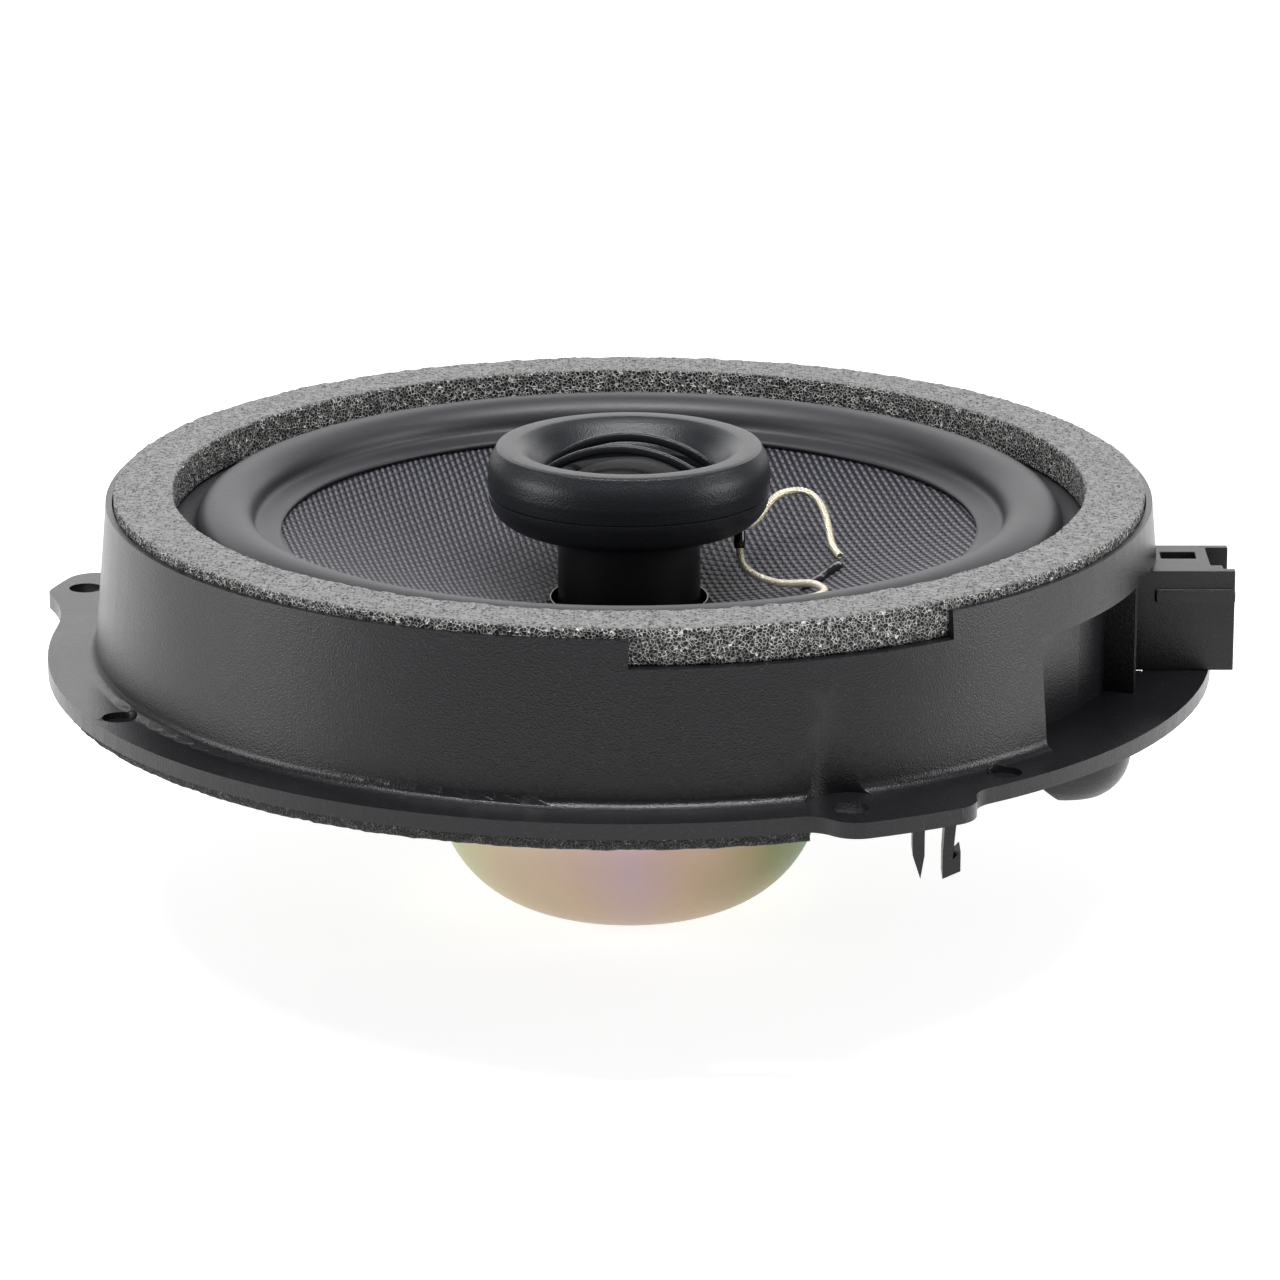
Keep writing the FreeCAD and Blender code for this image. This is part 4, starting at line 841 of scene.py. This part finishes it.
head_side = [(SEAM_RADIUS - 0.16, SEAM_HEIGHT + 0.02)] + curve_through([
    (SEAM_RADIUS, SEAM_HEIGHT + 0.14), (HEAD_RADIUS - 0.02, 70.0),
    (HEAD_RADIUS, THROAT_HEIGHT), (HEAD_RADIUS - 0.3, 73.6),
    (HEAD_RIM + 0.06, HEAD_TOP - 0.32)], 10)
head_top = curve_through([
    (HEAD_RIM - 0.02, HEAD_TOP - 0.24), (HEAD_RIM - 0.8, HEAD_TOP - 0.06),
    (HEAD_RIM - 2.4, HEAD_TOP - 0.04), (FUNNEL_RADIUS + 0.2, HEAD_TOP - 0.22),
    (FUNNEL_RADIUS - 1.0, HEAD_TOP - 1.0), (15.4, 73.9), (14.0, 72.5),
    (THROAT_RADIUS + 0.1, THROAT_HEIGHT)], 8)
head_inside = [(THROAT_RADIUS + 0.1, 69.8), (14.9, 69.8), (14.95, SEAM_HEIGHT + 0.02)]
tweeter_head = lathe("tweeter_head", head_side + head_top + head_inside)
keep_sharp(tweeter_head, 24.0)
settle(tweeter_head, FRAME_BODY, "tweeter_plastic", "tweeter_housing")

base_line = [(8.8, 62.6), (FOOT_RADIUS, FOOT_HEIGHT)]
base_line += arc((SEAM_RADIUS - BELLY_ROUNDING, SEAM_HEIGHT - 0.1), BELLY_ROUNDING, -106, 0, 30)
base_line += [(SEAM_RADIUS - 0.16, SEAM_HEIGHT - 0.02), (15.0, SEAM_HEIGHT - 0.02),
              (15.0, 64.3), (8.8, 64.3)]
tweeter_bottom = lathe("tweeter_bottom", base_line, around=224)
keep_sharp(tweeter_bottom, 30.0)
settle(tweeter_bottom, FRAME_BODY, "tweeter_plastic", "tweeter_base")

# %% Guard bars, swept along their arches
BAR_TURN, BAR_OFFSET, BAR_RISE = -11.0, 4.0, 5.4
BAR_WIDE, BAR_TALL = 1.25, 1.5


def guard_bar(index, side):
    """One bar: a rounded strip that follows an arch from wall to wall."""
    chord = math.sqrt((THROAT_RADIUS + 1.6) ** 2 - BAR_OFFSET ** 2)
    half = math.atan(BAR_RISE / chord) * 2
    radius = chord / math.sin(half)
    centre = THROAT_HEIGHT + 0.2 + BAR_RISE - radius
    across, up = np.array(box_section(
        -BAR_WIDE / 2, BAR_WIDE / 2, -BAR_TALL, 0.0, 0.45, 4)).T
    y = side * BAR_OFFSET + across
    turn = math.radians(BAR_TURN)
    rings = []
    for t in np.linspace(-half * 1.02, half * 1.02, 48):
        x = (radius + up) * math.sin(t)
        rings.append(MM * np.stack([
            x * math.cos(turn) - y * math.sin(turn), x * math.sin(turn) + y * math.cos(turn),
            centre + (radius + up) * math.cos(t)], -1))
    bar = ring_skin(f"guard_bar_{index}", [rings])
    keep_sharp(bar, 50.0)
    settle(bar, FRAME_BODY, "tweeter_plastic")


guard_bar(1, -1)
guard_bar(2, 1)

# %% Post, dome and its roll
post = lathe("tweeter_pillar", curve_through([
    (11.5, 36.1), (11.5, 45.0), (11.45, 55.0), (11.5, 60.5), (12.2, 62.0), (13.4, 62.5)], 8)
    + [(8.7, 62.5), (8.7, 46.5), (2.6, 46.4), (2.6, 36.1)], around=160)
keep_sharp(post, 30.0)
settle(post, FRAME_BODY, "tweeter_plastic", "tweeter_post", paint=post_plastic)

DOME_RADIUS = 10.2
dome_low, dome_high = radii("tweeter_dome")[1:]
dome_rise = dome_high - dome_low - 0.25
dome_ball = (DOME_RADIUS ** 2 + dome_rise ** 2) / (2 * dome_rise)
dome_line = [(r, dome_high - dome_ball + math.sqrt(dome_ball ** 2 - r ** 2))
             for r in np.linspace(0.02, DOME_RADIUS, 30)]
dome = lathe("dome_skin", skin_profile(dome_line, 0.22), around=128)
settle(dome, DOME_BODY, "dome_silk", "tweeter_dome")

ROLL_START, ROLL_END, ROLL_WIDTH = 10.3, 12.9, 2.6
roll_foot = radii("tweeter_surround")[1] + 0.45
roll = [(r, roll_foot + 0.95 * math.sin(math.pi * (r - ROLL_START) / ROLL_WIDTH) ** 0.8)
        for r in np.linspace(ROLL_START, ROLL_END, 15)]
roll += [(13.4, roll_foot), (14.5, roll_foot)]
dome_roll = lathe("dome_roll", skin_profile(roll, 0.2), around=128)
settle(dome_roll, None, "dome_silk", "tweeter_surround")
blend_round(dome_roll, ROLL_END, ROLL_START)
print("tweeter head faces:", len(tweeter_head.data.polygons))

# %% [markdown]
# ## Motor
# The cup is one deep-drawn steel shell. The screws that hold the motor under the basket are
# one screw, made once and repeated round a circle by a node tree.

# %% Cup
CUP_RADIUS, CUP_CORNER, CUP_HEIGHT, CUP_WALL = 31.2, 19.0, 32.0, 1.2
cup_centre = CUP_RADIUS - CUP_CORNER
cup_line = [(0.02, 0.0), (cup_centre * 0.5, 0.0)]
cup_line += arc((cup_centre, CUP_CORNER), CUP_CORNER, -90, 0, 40)
cup_line += [(CUP_RADIUS, 26.0), (CUP_RADIUS, CUP_HEIGHT - 0.3), (CUP_RADIUS - 0.3, CUP_HEIGHT),
             (CUP_RADIUS - CUP_WALL, CUP_HEIGHT)]
cup_line += arc((cup_centre, CUP_CORNER), CUP_CORNER - CUP_WALL, 0, -90, 24)
cup_line += [(0.02, CUP_WALL)]
cup = lathe("motor_cup_shell", cup_line, around=224)
keep_sharp(cup, 40.0)
settle(cup, FRAME_BODY, "zinc_steel", "motor_cup")

# %% Screws on a circle
def screw_mesh():
    """A pan-head screw with a cross recess, on the origin, head up. Metres."""
    around, head_radius, head_high, shank = 48, 2.6, 1.3, 1.4
    rows = [(0.0, head_high)] + [
        (r, head_high - 0.35 * (r / head_radius) ** 3)
        for r in np.linspace(0.25, head_radius - 0.12, 11)]
    rows += [(head_radius, head_high - 0.6), (head_radius, 0.0), (shank, 0.0), (shank, -7.9)]
    angles = 2 * math.pi * np.arange(around) / around
    rings = []
    for r, z in rows:
        x, y = r * np.cos(angles), r * np.sin(angles)
        low, high = np.sort(np.abs([x, y]), axis=0)
        recess = (low < 0.26) & (high < 1.45) & (r < 1.5)
        rings.append(MM * np.stack([x, y, z - 0.7 * recess], -1))
    return ring_skin("screw_pattern", [rings], merge=2e-6)


circle_tree, circle, circle_in = geometry_tree("screws_on_a_circle", {
    "Screw": (OBJECT, None), "Count": (INTEGER, 4), "Radius": (FLOAT, 0.025),
    "Start angle": (FLOAT, 0.785), "Height": (FLOAT, 0.037), "Material": (MATERIAL, None)})
circle_ring = circle.add("GeometryNodeMeshCircle", {
    "Vertices": circle_in["Count"], "Radius": circle_in["Radius"]})
circle_moved = circle.add("GeometryNodeTransform", {
    "Geometry": circle_ring, "Translation": axial(circle, circle_in["Height"]),
    "Rotation": axial(circle, circle_in["Start angle"])})
circle_screw = circle.add("GeometryNodeObjectInfo", {"Object": circle_in["Screw"]})
circle_copies = circle.add("GeometryNodeInstanceOnPoints", {
    "Points": circle_moved, "Instance": circle_screw.outputs["Geometry"]})
finish_tree(circle, circle_copies, circle_in["Material"])

screw_pattern = screw_mesh()
screws = run_tree("motor_screw_set", circle_tree, {
    "Screw": screw_pattern, "Count": 4, "Radius": 0.025, "Start angle": math.radians(45.0),
    "Height": 0.037, "Material": FINISHES["plain_steel"]})
bpy.data.objects.remove(screw_pattern)
keep_sharp(screws, 35.0)
settle(screws, FRAME_BODY, "plain_steel", "motor_screws")

# %% Voice coil: turns of wire stacked by a node tree
coil_tree, coil, coil_in = geometry_tree("stacked_turns", {
    "Turns": (INTEGER, 30), "Radius": (FLOAT, 0.013), "Wire radius": (FLOAT, 0.0002),
    "Bottom": (FLOAT, 0.0256), "Pitch": (FLOAT, 0.0004), "Material": (MATERIAL, None)})
coil_ring, coil_wire = [
    coil.add("GeometryNodeCurvePrimitiveCircle", {"Resolution": steps, "Radius": coil_in[size]})
    for steps, size in ((72, "Radius"), (8, "Wire radius"))]
coil_turn = coil.add("GeometryNodeCurveToMesh", {
    "Curve": coil_ring, "Profile Curve": coil_wire})
coil_line = coil.add("GeometryNodeMeshLine", {
    "Count": coil_in["Turns"], "Start Location": axial(coil, coil_in["Bottom"]),
    "Offset": axial(coil, coil_in["Pitch"])})
coil_copies = coil.add("GeometryNodeInstanceOnPoints", {
    "Points": coil_line, "Instance": coil_turn})
finish_tree(coil, coil_copies, coil_in["Material"])

COIL_TURNS = 30
coil_low, coil_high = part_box("voice_coil")[0].z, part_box("voice_coil")[1].z
coil_pitch = (coil_high - coil_low) / COIL_TURNS
winding = run_tree("voice_coil_turns", coil_tree, {
    "Turns": COIL_TURNS, "Radius": 0.0131, "Wire radius": coil_pitch / 2,
    "Bottom": coil_low + coil_pitch / 2, "Pitch": coil_pitch, "Material": FINISHES["copper"]})
settle(winding, CONE_BODY, "copper", "voice_coil")
print("screws and coil:", len(screws.data.polygons), len(winding.data.polygons))

# %% [markdown]
# ## Braided leads
# Two flexible leads carry the signal from the tweeter head to the cone's terminals. Each is a
# flat-woven tube of gold and silver tinsel. Its centre line is a smooth spline through a few
# chosen points, and the strands wind about it in two directions, over and under each other.

# %% Routes
LOWER_LEAD = [
    (0.01776, 0.0004, 0.0587),
    (0.01775, -0.0003, 0.057),
    (0.0189, -0.0032, 0.056),
    (0.0211, -0.0054, 0.05535),
    (0.0233, -0.0074, 0.0552),
    (0.0255, -0.0096, 0.0556),
    (0.0275, -0.012, 0.05645),
    (0.0293, -0.0144, 0.0571),
    (0.0305, -0.0178, 0.0574),
    (0.031, -0.0214, 0.0578),
    (0.03, -0.0248, 0.0581),
    (0.0276, -0.027, 0.0583),
    (0.025, -0.028, 0.058),
]
UPPER_LEAD = [
    (0.0184, 0.0064, 0.0612),
    (0.0189, 0.0075, 0.06),
    (0.0206, 0.0094, 0.0607),
    (0.022, 0.0114, 0.062),
    (0.0231, 0.0131, 0.0632),
    (0.02455, 0.0146, 0.06385),
    (0.0262, 0.0158, 0.064),
    (0.0281, 0.0163, 0.064),
    (0.0297, 0.0156, 0.06355),
    (0.0308, 0.0144, 0.06275),
    (0.0315, 0.0128, 0.0618),
    (0.03204, 0.011, 0.0606),
    (0.0324, 0.009, 0.0593),
    (0.03267, 0.007, 0.058),
    (0.03318, 0.0046, 0.0571),
    (0.034, 0.0024, 0.0568),
]
LEAD_DIAMETER = 0.00125


def route_points(name, route):
    """The points of the smooth spline that has the route's points as its control points."""
    data = bpy.data.curves.new(name, "CURVE")
    data.dimensions = "3D"
    data.resolution_u = 16
    spline = data.splines.new("NURBS")
    spline.points.add(len(route) - 1)
    for point, place in zip(spline.points, route):
        point.co = (*place, 1.0)
    spline.order_u = 3
    spline.use_endpoint_u = True
    holder = link(bpy.data.objects.new(name, data))
    graph = bpy.context.evaluated_depsgraph_get()
    line = bpy.data.meshes.new_from_object(holder.evaluated_get(graph))
    points = np.array([v.co[:] for v in line.vertices])
    bpy.data.objects.remove(holder)
    return points


def evenly(points, gap):
    """The same line with points at even steps."""
    steps = np.linalg.norm(np.diff(points, axis=0), axis=1)
    along = np.concatenate([[0], np.cumsum(steps)])
    count = max(2, int(round(along[-1] / gap)) + 1)
    wanted = np.linspace(0, along[-1], count)
    line = [np.interp(wanted, along, values) for values in points.T]
    return np.stack(line, -1), along[-1]


def frames_along(points):
    """Two directions across the line at each point that don't twist."""
    tangents = unit(np.gradient(points, axis=0))
    first = np.cross(tangents[0], (0, 0, 1.0))
    across = []
    for tangent in tangents:
        first = first - tangent * (first @ tangent)
        first /= np.linalg.norm(first)
        across.append(first)
    return np.array(across), np.cross(tangents, across)


def tube_rings(centres, first, second, wide, tall, sides):
    """Oval rings about a line, from two directions across it and a half width along each."""
    turns = 2 * math.pi * np.arange(sides) / sides
    across = np.outer(wide, np.cos(turns))[..., None]
    up = np.outer(tall, np.sin(turns))[..., None]
    return centres[:, None] + first[:, None] * across + second[:, None] * up


STRANDS_EACH_WAY = 8
BRAID_PITCH = 0.0042
STRAND_RADIUS = 0.00012
STRAND_FLAT = 1.9
STRAND_SIDES = 5


def braided(name, route, seed):
    """A hollow braid of flat strands about the route's spline, as one mesh."""
    points, length = evenly(route_points(f"{name}_route", route), 0.00011)
    side, up = frames_along(points)
    along = np.linspace(0, length, len(points))
    rng = np.random.default_rng(seed)
    middle_radius = LEAD_DIAMETER / 2 - STRAND_RADIUS * 1.6
    strands = []
    for way in (1, -1):
        for strand in range(STRANDS_EACH_WAY):
            phase = 2 * math.pi * (strand + 0.5 * (way < 0)) / STRANDS_EACH_WAY
            uneven = rng.uniform(-0.12, 0.12)
            turn = way * 2 * math.pi * along / BRAID_PITCH + phase + uneven
            crossing = STRANDS_EACH_WAY * 2 * math.pi * along / BRAID_PITCH + phase * way
            radius = middle_radius + way * STRAND_RADIUS * 0.75 * np.sin(crossing)
            out = side * np.cos(turn)[:, None] + up * np.sin(turn)[:, None]
            centres = points + out * radius[:, None]
            flat = unit(np.cross(np.gradient(centres, axis=0), out))
            strands.append(tube_rings(centres, flat, out, STRAND_RADIUS * STRAND_FLAT,
                                      STRAND_RADIUS, STRAND_SIDES))
    return ring_skin(name, strands, merge=1e-9), points, length


def blend_along(piece, points):
    """Bakes a lead's place into its mesh and works out a smooth share from its first end to its
    far end, which is not kept.
    """
    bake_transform(piece)
    places = np.array([v.co[:] for v in piece.data.vertices])
    coarse = points[::4]
    shares = np.linspace(0, 1, len(coarse))
    nearest = np.empty(len(places), int)
    for first in range(0, len(places), 20000):
        block = places[first:first + 20000]
        gaps = ((block[:, None, :] - coarse[None, :, :]) ** 2).sum(-1)
        nearest[first:first + 20000] = gaps.argmin(1)
    share = shares[nearest]
    share = share * share * (3 - 2 * share)


for lead_name, lead_node, lead_route, lead_seed in (
        ("lead_braid_lower", "front_lead_lower", LOWER_LEAD, 21),
        ("lead_braid_upper", "front_lead_upper", UPPER_LEAD, 22)):
    braid, lead_points, lead_length = braided(lead_name, lead_route, lead_seed)
    settle(braid, None, "tinsel", lead_node)
    blend_along(braid, lead_points)
    print(lead_name, "length", round(lead_length * 1000, 1), "mm", len(braid.data.polygons))


# %% Sleeves and glue
SLEEVE_RADIUS, SLEEVE_LENGTH = 0.00093, 0.0059
for number, lead_route in ((1, LOWER_LEAD), (2, UPPER_LEAD)):
    mouth, following = np.array(lead_route[:2])
    back = (mouth - following) / math.dist(mouth, following)
    shares = np.linspace(0, 1, 14)
    line = mouth + np.outer(SLEEVE_LENGTH * shares - 0.00005, back)
    flare = 0.80 + 0.20 * np.minimum(1, shares / 0.12)
    widths = SLEEVE_RADIUS * flare * (1 + 0.03 * np.sin(9 * shares))
    rings = tube_rings(line, *frames_along(line), widths, widths, 20)
    settle(ring_skin(f"lead_sleeve_{number}", [rings]), FRAME_BODY, "sleeve")
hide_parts("lead_sleeves")


def glue_bead(name, spots, high):
    """A long drop of glue that lies along a line of (x, y) spots on the cone."""
    fine, _ = evenly(np.array(spots) * MM, 0.0003)
    rng = np.random.default_rng(len(name))
    turns = 2 * math.pi * np.arange(16) / 16
    total = len(fine)
    rings = []
    for row, middle in enumerate(fine):
        share = row / (total - 1)
        swell = math.sqrt(max(0.0, 1 - (2 * share - 1) ** 6)) + 0.02
        width = (0.0011 + 0.0002 * math.sin(11 * share)) * swell
        path = fine[min(row + 1, total - 1)] - fine[max(row - 1, 0)]
        across = np.array([-path[1], path[0]]) / np.linalg.norm(path)
        places = middle + np.outer(np.cos(turns) * width, across)
        lift = np.sin(turns) * high * swell * (1 + 0.06 * rng.uniform(-1, 1, 16))
        face = cone_height(np.hypot(*places.T) / MM) * MM
        rings.append(np.column_stack([places, face + np.maximum(lift, -0.0003)]))
    return settle(ring_skin(name, [rings]), CONE_BODY, "glue")


glue_upper = glue_bead("glue_upper", [
    (33.9, 0.6), (33.0, -1.6), (31.2, -4.8), (29.2, -8.1), (27.6, -10.6)], 0.0011)
glue_bead("glue_lower", [(25.2, -28.0), (23.8, -28.4), (22.2, -28.7)], 0.0012)
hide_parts("lead_glue")
